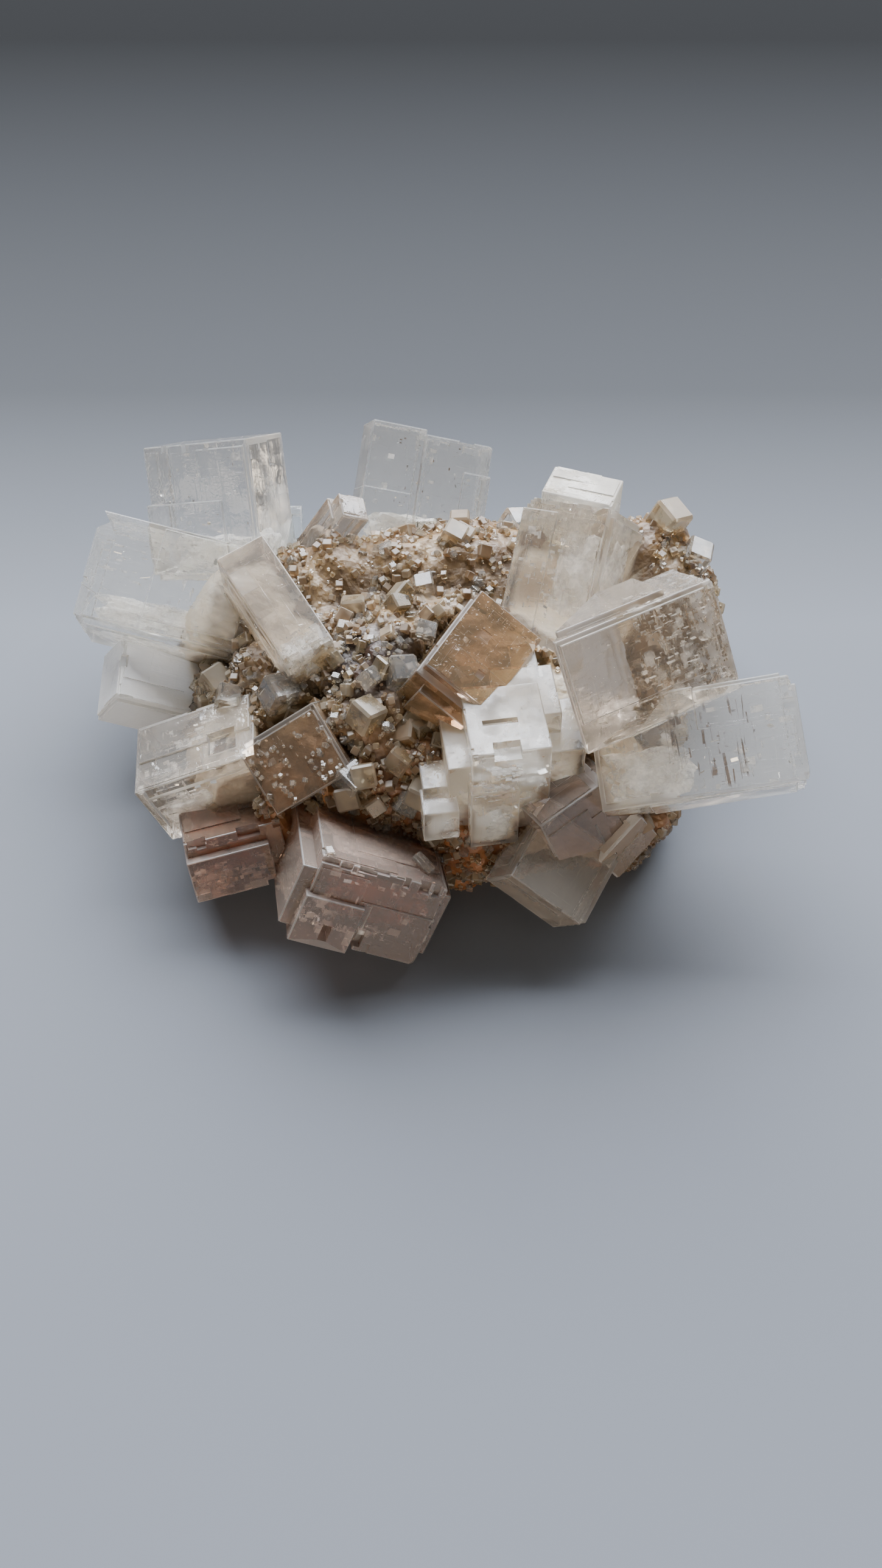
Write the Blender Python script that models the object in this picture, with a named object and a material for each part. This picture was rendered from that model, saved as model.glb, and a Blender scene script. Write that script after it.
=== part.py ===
"""Halite crystal cluster: clear and brown blocks of salt on a mound with a crust of tiny cubes.

Lengths are in millimetres up to the moment a mesh is made. A crystal is given by its foot, which is
the middle of its inner end, by the bearing and lift of the way it grows, by its spin about that line,
and by its size: length, width and thickness.
"""
import math
import random
from collections import namedtuple

import bmesh
import bpy
from mathutils import Euler, Matrix, Vector
from mathutils.bvhtree import BVHTree

MM = 0.001
GAP = 0.3                    # clearance between one piece and the next
FLOOR_CLEARANCE = 0.4        # crystals stay this far above the flat base

# The mound: one wide dome with lower lumps around it, cut flat underneath.
MOUND_CENTRE = (0, 1, 6)
MOUND_RADII = (27, 18.5, 15.6)
MOUND_LUMPS = [
    # centre, radii
    ((-20, 10, 7), (9, 8.5, 12.5)),
    ((-17, -7, 7), (9, 9, 8.5)),
    ((23, 15, 8), (9, 9.5, 13.5)),
    ((17, -8, 6), (9, 8, 9)),
    ((2, 13, 9), (20, 9.5, 13)),
    ((-11, 13, 9), (9, 9, 12)),
    ((2, -10, 5), (11, 8, 8.5)),
]
MOUND_FINENESS = 4           # subdivisions of the sphere that the mound starts from
MOUND_ROUGHNESS = 0.6        # how far the surface wanders in and out

# Larger cubes that stand out of the crust: place seen from above, edge, and turn in degrees.
LARGER_CUBES = [
    ((-4.4, -11.3), 2.5, (20, 30, 40)),
    ((-17.2, -3.4), 3.4, (10, 8, 20)),
    ((-15.2, -4.6), 2.4, (30, 10, 50)),
    ((-7.5, -4.1), 1.9, (15, 40, 35)),
    ((-7.8, -7.8), 3, (35, 25, 10)),
    ((-1.5, 1.9), 2.1, (20, 15, 60)),
    ((-4.7, 5.8), 2, (5, 30, 25)),
    ((-4.2, -2.8), 3, (4, 6, 8)),
    ((-2.1, -14.2), 2.6, (25, 5, 45)),
    ((-9.2, -12.6), 3, (30, 20, 15)),
    ((-24.4, 1.6), 2.8, (10, 15, 30)),
    ((-22.8, -1.6), 2.6, (20, 5, 65)),
    ((24.9, 17.6), 3.4, (15, 10, 20)),
    ((28.2, 14.6), 2.8, (25, 20, 50)),
    ((1.5, 14.6), 2.4, (30, 5, 35)),
    ((8.2, 20.4), 2.6, (10, 25, 15)),
    ((1.7, -5.1), 2.2, (25, 30, 5)),
]

# The crust of small cubes grown on the mound.
CRUST_SEED = 17
CRUST_COUNT = 215
CRUST_EDGE = (1.3, 2.6)      # smallest and largest edge
CRUST_SUNK = 0.25            # share of the edge that is buried
CRUST_LOWEST = 3.6           # no cube grows lower than this

CLEAR = ("clear_halite", (0.86, 0.86, 0.85), 0.12)
WARM = ("smoky_halite", (0.66, 0.60, 0.53), 0.18)
BROWN = ("clay_stained_halite", (0.42, 0.27, 0.18), 0.25)
CLAY = ("clay_and_salt_matrix", (0.33, 0.24, 0.16), 0.75)

Block = namedtuple("Block", "foot bearing lift spin size")
Crystal = namedtuple("Crystal", "name finish blocks notches")


def block_frame(block):
    """Axes of a block: X along its growth, Z towards its upper side, origin at its foot."""
    turn = (
        Matrix.Rotation(math.radians(block.bearing), 4, "Z")
        @ Matrix.Rotation(-math.radians(block.lift), 4, "Y")
        @ Matrix.Rotation(math.radians(block.spin), 4, "X")
    )
    return Matrix.Translation(Vector(block.foot)) @ turn


def beside(block, shift, size):
    """A block grown parallel to another; shift and size are along that block's own axes."""
    foot = block_frame(block) @ Vector(shift)
    return Block(tuple(foot), block.bearing, block.lift, block.spin, size)


def turned(block, shift, turn, size):
    """A block set at an angle, in degrees about another block's own axes, as a break in it is."""
    frame = block_frame(block) @ Matrix.Translation(Vector(shift))
    angles = Euler([math.radians(angle) for angle in turn])
    frame = frame @ angles.to_matrix().to_4x4()
    growth = frame.to_3x3() @ Vector((1, 0, 0))
    bearing = math.degrees(math.atan2(growth.y, growth.x))
    lift = math.degrees(math.asin(max(-1, min(1, growth.z))))
    level = block_frame(Block((0, 0, 0), bearing, lift, 0, size)).to_3x3()
    side = level.inverted() @ (frame.to_3x3() @ Vector((0, 1, 0)))
    spin = math.degrees(math.atan2(side.z, side.y))
    return Block(tuple(frame.translation), bearing, lift, spin, size)


def block_mesh(block, margin=0.0):
    """A cuboid from the block's foot outwards, larger by the margin on every side."""
    length, width, thickness = (edge + 2 * margin for edge in block.size)
    shape = bmesh.new()
    bmesh.ops.create_cube(shape, size=1)
    bmesh.ops.scale(shape, vec=(length, width, thickness), verts=shape.verts)
    bmesh.ops.translate(shape, vec=(block.size[0] / 2, 0, 0), verts=shape.verts)
    bmesh.ops.transform(shape, matrix=block_frame(block), verts=shape.verts)
    return shape


def to_object(shape, name, collection):
    """Turn a bmesh in millimetres into an object in metres."""
    bmesh.ops.scale(shape, vec=(MM, MM, MM), verts=shape.verts)
    mesh = bpy.data.meshes.new(name)
    shape.to_mesh(mesh)
    shape.free()
    item = bpy.data.objects.new(name, mesh)
    collection.objects.link(item)
    return item


def apply_boolean(body, other, operation):
    """Join another object to the body or cut it away, and remove that other object."""
    step = body.modifiers.new(operation.lower(), "BOOLEAN")
    step.operation = operation
    step.solver = "EXACT"
    step.object = other
    result = bpy.data.meshes.new_from_object(body.evaluated_get(bpy.context.evaluated_depsgraph_get()))
    body.modifiers.clear()
    former = body.data
    body.data = result
    bpy.data.meshes.remove(former)
    spent = other.data
    bpy.data.objects.remove(other)
    bpy.data.meshes.remove(spent)


def keep_largest(body):
    """Drop the crumbs that a cut leaves loose from the body."""
    shape = bmesh.new()
    shape.from_mesh(body.data)
    unseen = set(shape.verts)
    islands = []
    while unseen:
        island = {unseen.pop()}
        edge_of_island = list(island)
        while edge_of_island:
            vert = edge_of_island.pop()
            for link in vert.link_edges:
                other = link.other_vert(vert)
                if other in unseen:
                    unseen.discard(other)
                    island.add(other)
                    edge_of_island.append(other)
        islands.append(island)
    islands.sort(key=len, reverse=True)
    for crumb in islands[1:]:
        bmesh.ops.delete(shape, geom=list(crumb), context="VERTS")
    shape.to_mesh(body.data)
    shape.free()


def make_material(finish):
    """One plain material for each finish, shared by the pieces that have it."""
    name, colour, roughness = finish
    material = bpy.data.materials.get(name)
    if material is None:
        material = bpy.data.materials.new(name)
        material.use_nodes = True
        shader = material.node_tree.nodes["Principled BSDF"]
        shader.inputs["Base Color"].default_value = (*colour, 1)
        shader.inputs["Roughness"].default_value = roughness
        shader.inputs["Metallic"].default_value = 0
        material.diffuse_color = (*colour, 1)
    return material


# ---------------------------------------------------------------- the crystals


def left_pair():
    """A clear block leaning back, grown together with the large one that lies outwards beside it."""
    back = Block((-23.5, 16.7, 12.6), 99, 47, -29, (15.5, 13, 8.5))
    outer = Block((-20.5, 11, 13.2), 169, 9, -23, (18.5, 12, 9.5))
    blocks = [
        back,
        beside(back, (0.4, -3.2, 0.5), (14.4, 6, 8.2)),
        beside(back, (0.8, 1.9, 0.8), (8.4, 9.6, 8.4)),
        outer,
        beside(outer, (0.4, 0.6, -0.6), (17.2, 12.2, 8.9)),
        beside(outer, (0.8, -0.4, 0.5), (10.4, 10.4, 9.3)),
    ]
    notches = [
        turned(outer, (18.5, -6.4, 0), (0, 0, 38), (4, 4, 14)),
        turned(outer, (17.5, 5.6, 5), (0, 0, -20), (4, 5, 1.4)),
    ]
    return Crystal("crystal_left_pair", CLEAR, blocks, notches)


def back_left_small():
    """A small clear block low at the back, beside the left pair."""
    body = Block((-16.5, 15.5, 13.4), 92, 12, 0, (8.8, 2.6, 3.6))
    return Crystal("crystal_back_left_small", CLEAR, [body], [])


def left_low():
    """A clear block under the outer left one, close to the ground."""
    body = Block((-26, 5.4, 4.4), -175, 30, -14, (12, 7.4, 7))
    blocks = [body, beside(body, (0.4, 0.5, -0.6), (11.3, 7.1, 6.6))]
    return Crystal("crystal_left_low", CLEAR, blocks, [])


def left_column():
    """A tilted column on the left shoulder of the mound, with a ragged end."""
    body = Block((-21, 11.4, 21.6), -57, -10, 6, (14.7, 5.6, 6.4))
    blocks = [
        body,
        beside(body, (0.4, 0.7, -0.9), (15.2, 3.6, 4.2)),
        beside(body, (0.9, -0.6, -1.7), (13.4, 5, 2.8)),
    ]
    notches = [turned(body, (15.1, 2.6, -3.2), (0, 0, 30), (3, 2.4, 9))]
    return Crystal("crystal_left_column", CLEAR, blocks, notches)


def lower_left_group():
    """The banded block, the inner brown cube and the red-brown cube, grown into one another."""
    banded = Block((-17.8, -6.1, 11.9), -172, -20, 9, (13.9, 9.5, 8.5))
    inner = Block((-13.2, -5.5, 9.5), -104, 50, 42, (9.5, 9, 7.6))
    red = Block((-23, -9.3, 4.2), -76, 24, 3, (9.7, 10.2, 6.8))
    blocks = [
        banded,
        beside(banded, (0.4, -1.6, 0.35), (13, 5, 8.4)),
        beside(banded, (0.8, 0.1, -0.5), (12.2, 10, 7)),
        beside(banded, (1.2, 2.2, -0.1), (13.1, 3, 7.3)),
        inner,
        beside(inner, (0.4, 0.5, 0.6), (8.8, 8.6, 7.4)),
        red,
        beside(red, (0.4, -0.9, -1), (10.3, 8.8, 5.2)),
    ]
    notches = [
        turned(red, (8.6, 4.2, -4.2), (0, 0, 24), (4, 5, 2.6)),
        turned(red, (9.6, -3.6, -4.6), (0, 0, -18), (3, 4, 2.2)),
    ]
    return Crystal("crystal_lower_left_group", BROWN, blocks, notches)


def front_block():
    """The big front block: terraces on the left and right, and a broken lower edge."""
    body = Block((-8.4, -13.2, 4.5), -81, 25, -27, (12.6, 13.6, 8.2))
    blocks = [
        body,
        beside(body, (0.4, -1.3, -1.4), (11.6, 14, 7.4)),
        beside(body, (0.8, 1.2, -0.9), (10.9, 13.3, 7.7)),
        beside(body, (1.2, -3.9, -3.1), (12.2, 6.4, 5.8)),
        beside(body, (1.6, 3.4, -2.7), (11.2, 7, 6)),
    ]
    notches = [
        turned(body, (13, 0.3, -5.8), (0, 0, 20), (2, 2.6, 2.6)),
        turned(body, (12.6, 6.9, -5.2), (0, 20, 35), (3, 3.4, 3)),
    ]
    return Crystal("crystal_front_block", WARM, blocks, notches)


def centre_cube():
    """A brown cube with its corner uppermost in the middle of the mound, with a ledge on its side."""
    body = Block((1.9, -1.1, 16.8), -31, 65, 0, (8.3, 11.2, 8.1))
    blocks = [
        body,
        beside(body, (0.4, -0.9, 0.4), (7, 11, 7.9)),
        beside(body, (0.8, -1.7, -0.1), (5.6, 11.4, 6)),
    ]
    return Crystal("crystal_centre_cube", BROWN, blocks, [])


def back_small():
    """A slim brown crystal at the back, leaning to the right."""
    body = Block((-14.4, 17.6, 14), 3, 60, 10, (10.6, 3.2, 3.2))
    blocks = [body, beside(body, (0.4, 0.8, 0.4), (8.4, 3, 3))]
    notches = [turned(body, (10.6, 1.6, 0), (0, 0, 40), (3, 3, 6))]
    return Crystal("crystal_back_small", BROWN, blocks, notches)


def back_pair():
    """Two clear blocks side by side at the back, grown parallel."""
    middle = Block((-3.3, 18.4, 12.7), 79, 36, 21, (14.6, 14, 6.4))
    blocks = [
        beside(middle, (0, -3, 0), (14.6, 7.8, 6.4)),
        beside(middle, (0.4, 3.8, -0.7), (14.9, 6.3, 5.6)),
        beside(middle, (0.8, -5.5, 0.4), (10.4, 3.2, 6.3)),
        beside(middle, (1.2, 4.4, 0.25), (6.6, 5.5, 5.7)),
    ]
    return Crystal("crystal_back_pair", CLEAR, blocks, [])


def right_columns():
    """The tall column at the upper right and the cream block that stands close behind it."""
    column = Block((12.5, 2.9, 15.4), 75, 34, -19, (16.3, 9.5, 9.3))
    behind = Block((15.3, 15.1, 9.1), 82, 76, -11, (16.6, 7.8, 5.3))
    blocks = [
        column,
        beside(column, (0.4, 2.9, 0.4), (14.7, 4.2, 9)),
        beside(column, (0.8, -1, -0.6), (14.7, 8.4, 8.7)),
        behind,
    ]
    notches = [turned(column, (16.5, -4.6, 4.6), (0, 0, 32), (4, 4, 5))]
    return Crystal("crystal_right_columns", CLEAR, blocks, notches)


def right_smoky():
    """The smoky, much fractured block that leans up to the right, with a ragged outer end."""
    body = Block((12.2, -6.3, 22.1), 25, 3, -39, (17.7, 8.2, 12.3))
    blocks = [
        body,
        beside(body, (0.4, -0.4, 1.4), (16.2, 8, 8.6)),
        beside(body, (0.8, 0.6, 0.8), (12, 7.6, 12)),
    ]
    notches = [
        turned(body, (17.6, -3.5, -6.2), (0, 24, 0), (4, 4.2, 4)),
        turned(body, (16.2, 0, -7.6), (0, -30, 0), (5, 9.4, 3)),
        turned(body, (18.4, 0.1, 7.2), (0, 40, 0), (3, 10, 3)),
        turned(body, (-3.2, -1.1, 0.2), (0, 0, 43), (14, 8, 15)),
    ]
    return Crystal("crystal_right_smoky", WARM, blocks, notches)


def far_right():
    """The long clear block that reaches furthest to the right, made of slabs of unequal width."""
    body = Block((16.9, -10.5, 14.8), 2, 14, 25, (20.4, 10.8, 7.9))
    blocks = [
        body,
        beside(body, (0.4, 0.6, 0.3), (10.4, 10.5, 7.6)),
        beside(body, (4.7, 0.2, -0.6), (14.9, 11.5, 7)),
        beside(body, (2, 0.1, -0.8), (19, 9.2, 6.1)),
    ]
    notches = [
        turned(body, (20.6, 5.4, 0), (0, 0, 30), (3, 3, 9)),
        turned(body, (20.8, -5.2, 4), (0, 0, -40), (2.4, 2.4, 3)),
    ]
    return Crystal("crystal_far_right", CLEAR, blocks, notches)


def front_steps():
    """The stepped cube at the front: terraces climbing to the back and smaller steps on its left."""
    body = Block((7, -11.5, 10.4), -82, 94, 0, (13, 8, 8.6))
    blocks = [
        body,
        beside(body, (2, 2.5, 3.5), (10.6, 6.7, 6.6)),
        beside(body, (3, 3.1, 6.8), (9.2, 3, 6)),
        beside(body, (0.4, -4.4, 0.3), (9.9, 3.8, 7.7)),
        beside(body, (0.8, -7.2, -1.2), (6, 3.3, 3.6)),
        beside(body, (1.2, -7.3, -3.8), (4.6, 3.7, 3.4)),
        beside(body, (-0.8, -1.8, -4.4), (9.1, 5, 2.4)),
        beside(body, (1.6, 5.9, 1.2), (7.9, 4.2, 6.9)),
    ]
    notches = [
        beside(body, (12.4, -0.6, -0.3), (2, 3.6, 0.7)),
        beside(body, (11.9, -0.4, -3.7), (2, 2.8, 1.7)),
    ]
    return Crystal("crystal_front_steps", CLEAR, blocks, notches)


def lower_right():
    """A smoky block low at the front right, with bright narrow sides."""
    body = Block((14.2, -14.8, 8.4), -119, -10, -33, (8.8, 9.4, 6.1))
    blocks = [body, beside(body, (0.4, 0.5, -0.4), (7.8, 9.6, 6))]
    return Crystal("crystal_lower_right", WARM, blocks, [])


def right_shadowed():
    """The dark block above the lower right one, and the brown lump grown on beside it."""
    body = Block((10.4, -8.6, 9), -60, 20, 12, (10.4, 8.2, 8.4))
    lump = Block((14.4, -9, 6.8), -50, 4, 25, (9.4, 6.4, 6.6))
    blocks = [
        body,
        beside(body, (0.4, 0.7, -0.6), (9.8, 8.8, 8)),
        lump,
        beside(lump, (0.8, 0.8, 0.8), (7.2, 6.2, 6.4)),
    ]
    return Crystal("crystal_right_shadowed", BROWN, blocks, [])


# Each crystal is cut clear of the ones before it in this list.
CRYSTALS = [
    left_column(),
    left_pair(),
    front_block(),
    lower_left_group(),
    left_low(),
    front_steps(),
    right_smoky(),
    far_right(),
    right_columns(),
    centre_cube(),
    lower_right(),
    right_shadowed(),
    back_pair(),
    back_small(),
    back_left_small(),
]


def boxes_meet(one, other):
    """Whether the upright bounding boxes of two blocks come within the gap of each other."""
    spans = []
    for block in (one, other):
        shape = block_mesh(block, GAP)
        along = [[vert.co[axis] for vert in shape.verts] for axis in range(3)]
        spans.append([(min(places), max(places)) for places in along])
        shape.free()
    return all(a[0] <= b[1] and b[0] <= a[1] for a, b in zip(*spans))


def build_crystal(crystal, earlier, parts, cutters):
    """Union of the crystal's blocks, less its breaks, its neighbours' room and the ground."""
    body = to_object(block_mesh(crystal.blocks[0]), crystal.name, parts)
    for block in crystal.blocks[1:]:
        apply_boolean(body, to_object(block_mesh(block), "growth", cutters), "UNION")
    for notch in crystal.notches:
        apply_boolean(body, to_object(block_mesh(notch), "break", cutters), "DIFFERENCE")
    for neighbour in earlier:
        for block in neighbour.blocks:
            if any(boxes_meet(block, own) for own in crystal.blocks):
                apply_boolean(body, to_object(block_mesh(block, GAP), "room", cutters), "DIFFERENCE")
    ground = Block((-100, 0, FLOOR_CLEARANCE - 50), 0, 0, 0, (200, 200, 100))
    apply_boolean(body, to_object(block_mesh(ground), "ground", cutters), "DIFFERENCE")
    keep_largest(body)
    body.data.materials.clear()
    body.data.materials.append(make_material(crystal.finish))
    return body


# ---------------------------------------------------------------- the mound


def reach_of_ellipsoid(origin, heading, centre, radii):
    """How far along a ray from the origin an ellipsoid ends; nothing where the ray misses it."""
    start = Vector([(origin[i] - centre[i]) / radii[i] for i in range(3)])
    step = Vector([heading[i] / radii[i] for i in range(3)])
    a = step.dot(step)
    b = 2 * start.dot(step)
    c = start.dot(start) - 1
    root = b * b - 4 * a * c
    if root < 0:
        return 0.0
    return max(0.0, (-b + math.sqrt(root)) / (2 * a))


def surface_wander(heading):
    """Slow ins and outs of the mound's surface, the same on every run."""
    x, y, z = heading
    slow = math.sin(7 * x + 2 * y + 1) * math.cos(6 * y - 3 * z)
    quick = math.sin(15 * z + 17 * x) * math.cos(19 * y + 2)
    return slow + quick


def mound_shape():
    """The dome and its lumps as one skin, seen from the mound's centre, with a flat base."""
    shape = bmesh.new()
    bmesh.ops.create_icosphere(shape, subdivisions=MOUND_FINENESS, radius=1)
    for vert in shape.verts:
        heading = vert.co.normalized()
        reach = reach_of_ellipsoid(MOUND_CENTRE, heading, MOUND_CENTRE, MOUND_RADII)
        for centre, radii in MOUND_LUMPS:
            reach = max(reach, reach_of_ellipsoid(MOUND_CENTRE, heading, centre, radii))
        reach += MOUND_ROUGHNESS * surface_wander(heading)
        vert.co = Vector(MOUND_CENTRE) + heading * reach
    on_axes = {"use_axis_x": True, "use_axis_y": True, "use_axis_z": True}
    bmesh.ops.smooth_vert(shape, verts=shape.verts, factor=0.5, **on_axes)
    everything = list(shape.verts) + list(shape.edges) + list(shape.faces)
    base = {"plane_co": (0, 0, 0), "plane_no": (0, 0, -1)}
    cut = bmesh.ops.bisect_plane(shape, geom=everything, clear_outer=True, **base)
    rim = [item for item in cut["geom_cut"] if isinstance(item, bmesh.types.BMEdge)]
    bmesh.ops.edgenet_fill(shape, edges=rim)
    bmesh.ops.triangulate(shape, faces=shape.faces)
    bmesh.ops.recalc_face_normals(shape, faces=shape.faces)
    return shape


def larger_cubes(skin):
    """The cubes that stand out of the crust, each set on the mound below its place."""
    cubes = []
    for (x, y), edge, turn in LARGER_CUBES:
        spot, _, _, _ = skin.ray_cast(Vector((x, y, 100)), Vector((0, 0, -1)))
        foot = spot - Vector((0, 0, edge * CRUST_SUNK))
        cubes.append(Block(tuple(foot), turn[0], 90 - turn[1], turn[2], (edge, edge, edge)))
    return cubes


def crust_cubes(skin):
    """Cubes scattered over the mound, each turned its own way and partly sunk into it."""
    draw = random.Random(CRUST_SEED)
    cubes = []
    while len(cubes) < CRUST_COUNT:
        aim = Vector((draw.uniform(-1, 1), draw.uniform(-1, 1), draw.uniform(-0.2, 1)))
        edge = CRUST_EDGE[0] + (CRUST_EDGE[1] - CRUST_EDGE[0]) * draw.random() ** 2
        tilt = [draw.uniform(-35, 35), draw.uniform(-35, 35), draw.uniform(0, 90)]
        if aim.length > 1:
            continue
        heading = Vector([aim[i] * MOUND_RADII[i] for i in range(3)]).normalized()
        spot, normal, _, _ = skin.ray_cast(Vector(MOUND_CENTRE) + heading * 100, -heading)
        if spot is None or spot.z < CRUST_LOWEST:
            continue
        foot = spot - normal * edge * CRUST_SUNK * 2
        bearing = math.degrees(math.atan2(normal.y, normal.x)) + tilt[0]
        lift = math.degrees(math.asin(max(-1, min(1, normal.z)))) + tilt[1]
        cubes.append(Block(tuple(foot), bearing, lift, tilt[2], (edge * 1.25, edge, edge)))
    return cubes


def build_matrix(parts, cutters):
    """The mound with its crust, less a pocket for every crystal that grows out of it."""
    shape = mound_shape()
    skin = BVHTree.FromBMesh(shape)
    cubes = larger_cubes(skin) + crust_cubes(skin)
    body = to_object(shape, "matrix", parts)
    for cube in cubes:
        apply_boolean(body, to_object(block_mesh(cube), "cube", cutters), "UNION")
    for crystal in CRYSTALS:
        for block in crystal.blocks:
            apply_boolean(body, to_object(block_mesh(block, GAP), "pocket", cutters), "DIFFERENCE")
    keep_largest(body)
    body.data.materials.clear()
    body.data.materials.append(make_material(CLAY))
    return body


def main():
    for item in list(bpy.data.objects):
        bpy.data.objects.remove(item)
    parts = bpy.data.collections.new("halite_crystal_cluster")
    cutters = bpy.data.collections.new("cutters")
    bpy.context.scene.collection.children.link(parts)
    bpy.context.scene.collection.children.link(cutters)
    for place, crystal in enumerate(CRYSTALS):
        build_crystal(crystal, CRYSTALS[:place], parts, cutters)
    build_matrix(parts, cutters)


main()
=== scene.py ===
import math
import random
from collections import namedtuple

import bmesh
import bpy
import numpy
from mathutils import Euler, Matrix, Vector, noise
from mathutils.bvhtree import BVHTree


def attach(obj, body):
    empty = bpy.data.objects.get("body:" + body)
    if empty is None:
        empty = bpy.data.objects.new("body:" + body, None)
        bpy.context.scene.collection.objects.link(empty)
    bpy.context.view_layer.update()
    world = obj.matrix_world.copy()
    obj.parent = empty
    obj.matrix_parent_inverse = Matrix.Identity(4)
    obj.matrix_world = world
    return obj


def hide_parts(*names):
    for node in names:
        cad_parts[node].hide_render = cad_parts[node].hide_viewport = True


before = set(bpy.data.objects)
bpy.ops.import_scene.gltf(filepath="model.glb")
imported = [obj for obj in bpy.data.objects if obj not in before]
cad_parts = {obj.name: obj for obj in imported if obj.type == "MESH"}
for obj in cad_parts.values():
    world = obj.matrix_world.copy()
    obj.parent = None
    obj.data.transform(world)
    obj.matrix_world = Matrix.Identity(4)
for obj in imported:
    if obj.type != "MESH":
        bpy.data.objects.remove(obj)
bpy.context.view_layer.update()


# ------------------------ camera
# A 38 mm lens looks down on the specimen at 57 degrees from about 18 cm away.
# The long side of the picture is the sensor's 36 mm.

camera_data = bpy.data.cameras.new("specimen_camera")
camera_data.lens = 38.0
camera_data.sensor_width = 36.0
camera_data.clip_start = 0.01
camera = bpy.data.objects.new("specimen_camera", camera_data)
camera.location = (0.000428, -0.10609, 0.1584)
camera.rotation_euler = (math.radians(90 - 57), 0, 0)
bpy.context.scene.collection.objects.link(camera)
bpy.context.scene.camera = camera


# ------------------------ studio
# A matt, pale grey-blue table, its colour darkening towards the back in a painted shade, and soft
# light: one big window-like panel behind and above the specimen, and a dimmer panel in front. The
# room is brighter behind than in front.


def linear(code):
    """An sRGB hex colour as the linear colour that a shader takes."""
    parts = [int(code[i : i + 2], 16) / 255 for i in (1, 3, 5)]
    return tuple(c / 12.92 if c <= 0.04045 else ((c + 0.055) / 1.055) ** 2.4 for c in parts) + (1.0,)


def add_node(tree, kind, settings=None, links=None):
    """Add one node; settings name its options or sockets, and links say what feeds a socket."""
    node = tree.nodes.new("ShaderNode" + kind)
    for key, value in (settings or {}).items():
        if key == "stops":
            ramp = node.color_ramp
            while len(ramp.elements) < len(value):
                ramp.elements.new(1.0)
            for element, (place, colour) in zip(ramp.elements, value):
                element.position = place
                element.color = linear(colour) if isinstance(colour, str) else (colour,) * 3 + (1.0,)
        elif isinstance(key, str) and hasattr(node, key):
            setattr(node, key, value)
        else:
            node.inputs[key].default_value = value
    for key, (source, output) in (links or {}).items():
        tree.links.new(source.outputs[output], node.inputs[key])
    return node


def new_material(name):
    """An empty material and its nodes."""
    material = bpy.data.materials.new(name)
    material.use_nodes = True
    material.node_tree.nodes.clear()
    return material, material.node_tree


table = bmesh.new()
bmesh.ops.create_grid(table, x_segments=1, y_segments=1, size=1.5)
table_mesh = bpy.data.meshes.new("studio_table")
table.to_mesh(table_mesh)
table.free()
studio_table = bpy.data.objects.new("studio_table", table_mesh)
bpy.context.scene.collection.objects.link(studio_table)
table_paint, tree = new_material("matt_table_with_painted_back_shade")
# Painted shade: the table's colour runs from pale grey-blue in front to near black at the back.
where = add_node(tree, "TexCoord")
depth = add_node(tree, "SeparateXYZ", {}, {"Vector": (where, "Object")})
depth = add_node(tree, "MapRange", {1: -0.06, 2: 0.14}, {0: (depth, "Y")})
shade = add_node(
    tree,
    "ValToRGB",
    {"stops": [(0.0, "#6E7279"), (0.4, "#73777D"), (0.6, "#484A4D"), (1.0, "#141516")]},
    {"Fac": (depth, 0)},
)
shader = add_node(
    tree,
    "BsdfPrincipled",
    {"Roughness": 0.95, "Specular IOR Level": 0.15},
    {"Base Color": (shade, "Color")},
)
add_node(tree, "OutputMaterial", {}, {"Surface": (shader, "BSDF")})
table_mesh.materials.append(table_paint)


def light_panel(name, place, target, width, height, power, colour):
    """A soft rectangular panel that faces the target."""
    panel = bpy.data.lights.new(name, "AREA")
    panel.shape = "RECTANGLE"
    panel.size = width
    panel.size_y = height
    panel.energy = power
    panel.color = linear(colour)[:3]
    lamp = bpy.data.objects.new(name, panel)
    lamp.location = place
    lamp.rotation_euler = (Vector(target) - Vector(place)).to_track_quat("-Z", "Y").to_euler()
    bpy.context.scene.collection.objects.link(lamp)


light_panel("back_window", (0.05, 1.3, 1.08), (0, 0, 0.01), 2.5, 1.4, 232.0, "#EEF2FA")
light_panel("front_low", (-0.15, -0.6, 0.13), (0, 0, 0.015), 1.2, 0.3, 3.6, "#FFF1DE")

room = bpy.data.worlds.new("soft_room")
bpy.context.scene.world = room
room.use_nodes = True
tree = room.node_tree
tree.nodes.clear()
heading = add_node(tree, "TexCoord")
aim = add_node(tree, "SeparateXYZ", {}, {"Vector": (heading, "Generated")})
glow = add_node(
    tree,
    "ValToRGB",
    {"stops": [(0.0, "#66625C"), (0.5, "#8E8D8B"), (1.0, "#D6DBE2")]},
    {"Fac": (add_node(tree, "MapRange", {1: -1.0, 2: 1.0}, {0: (aim, "Y")}), 0)},
)
backdrop = add_node(tree, "Background", {"Strength": 0.4}, {"Color": (glow, "Color")})
add_node(tree, "OutputWorld", {}, {"Surface": (backdrop, "Background")})
bpy.context.scene.cycles.diffuse_bounces = 8
bpy.context.scene.cycles.transmission_bounces = 16
bpy.context.scene.cycles.transparent_max_bounces = 16
bpy.context.scene.cycles.max_bounces = 20


# ------------------------ left column
# A tilted column on the mound's left shoulder: brownish-grey rock salt with a white broken end.
# Every large crystal is a few cuboids grown parallel and joined, with thin plates grown on, then
# chipped along cleavage and cut to fit its neighbours. Clouds and cracks are meshes inside it.

Block = namedtuple("Block", "foot bearing lift spin size")
grown_before = []
root_cream_share_and_painted_light = []


def to_piece(shape, name, unit=0.001):
    """Turn a bmesh in millimetres into an object in metres."""
    mesh = bpy.data.meshes.new(name)
    shape.to_mesh(mesh)
    shape.free()
    mesh.transform(Matrix.Scale(unit, 4))
    piece = bpy.data.objects.new(name, mesh)
    bpy.context.scene.collection.objects.link(piece)
    return piece


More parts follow.
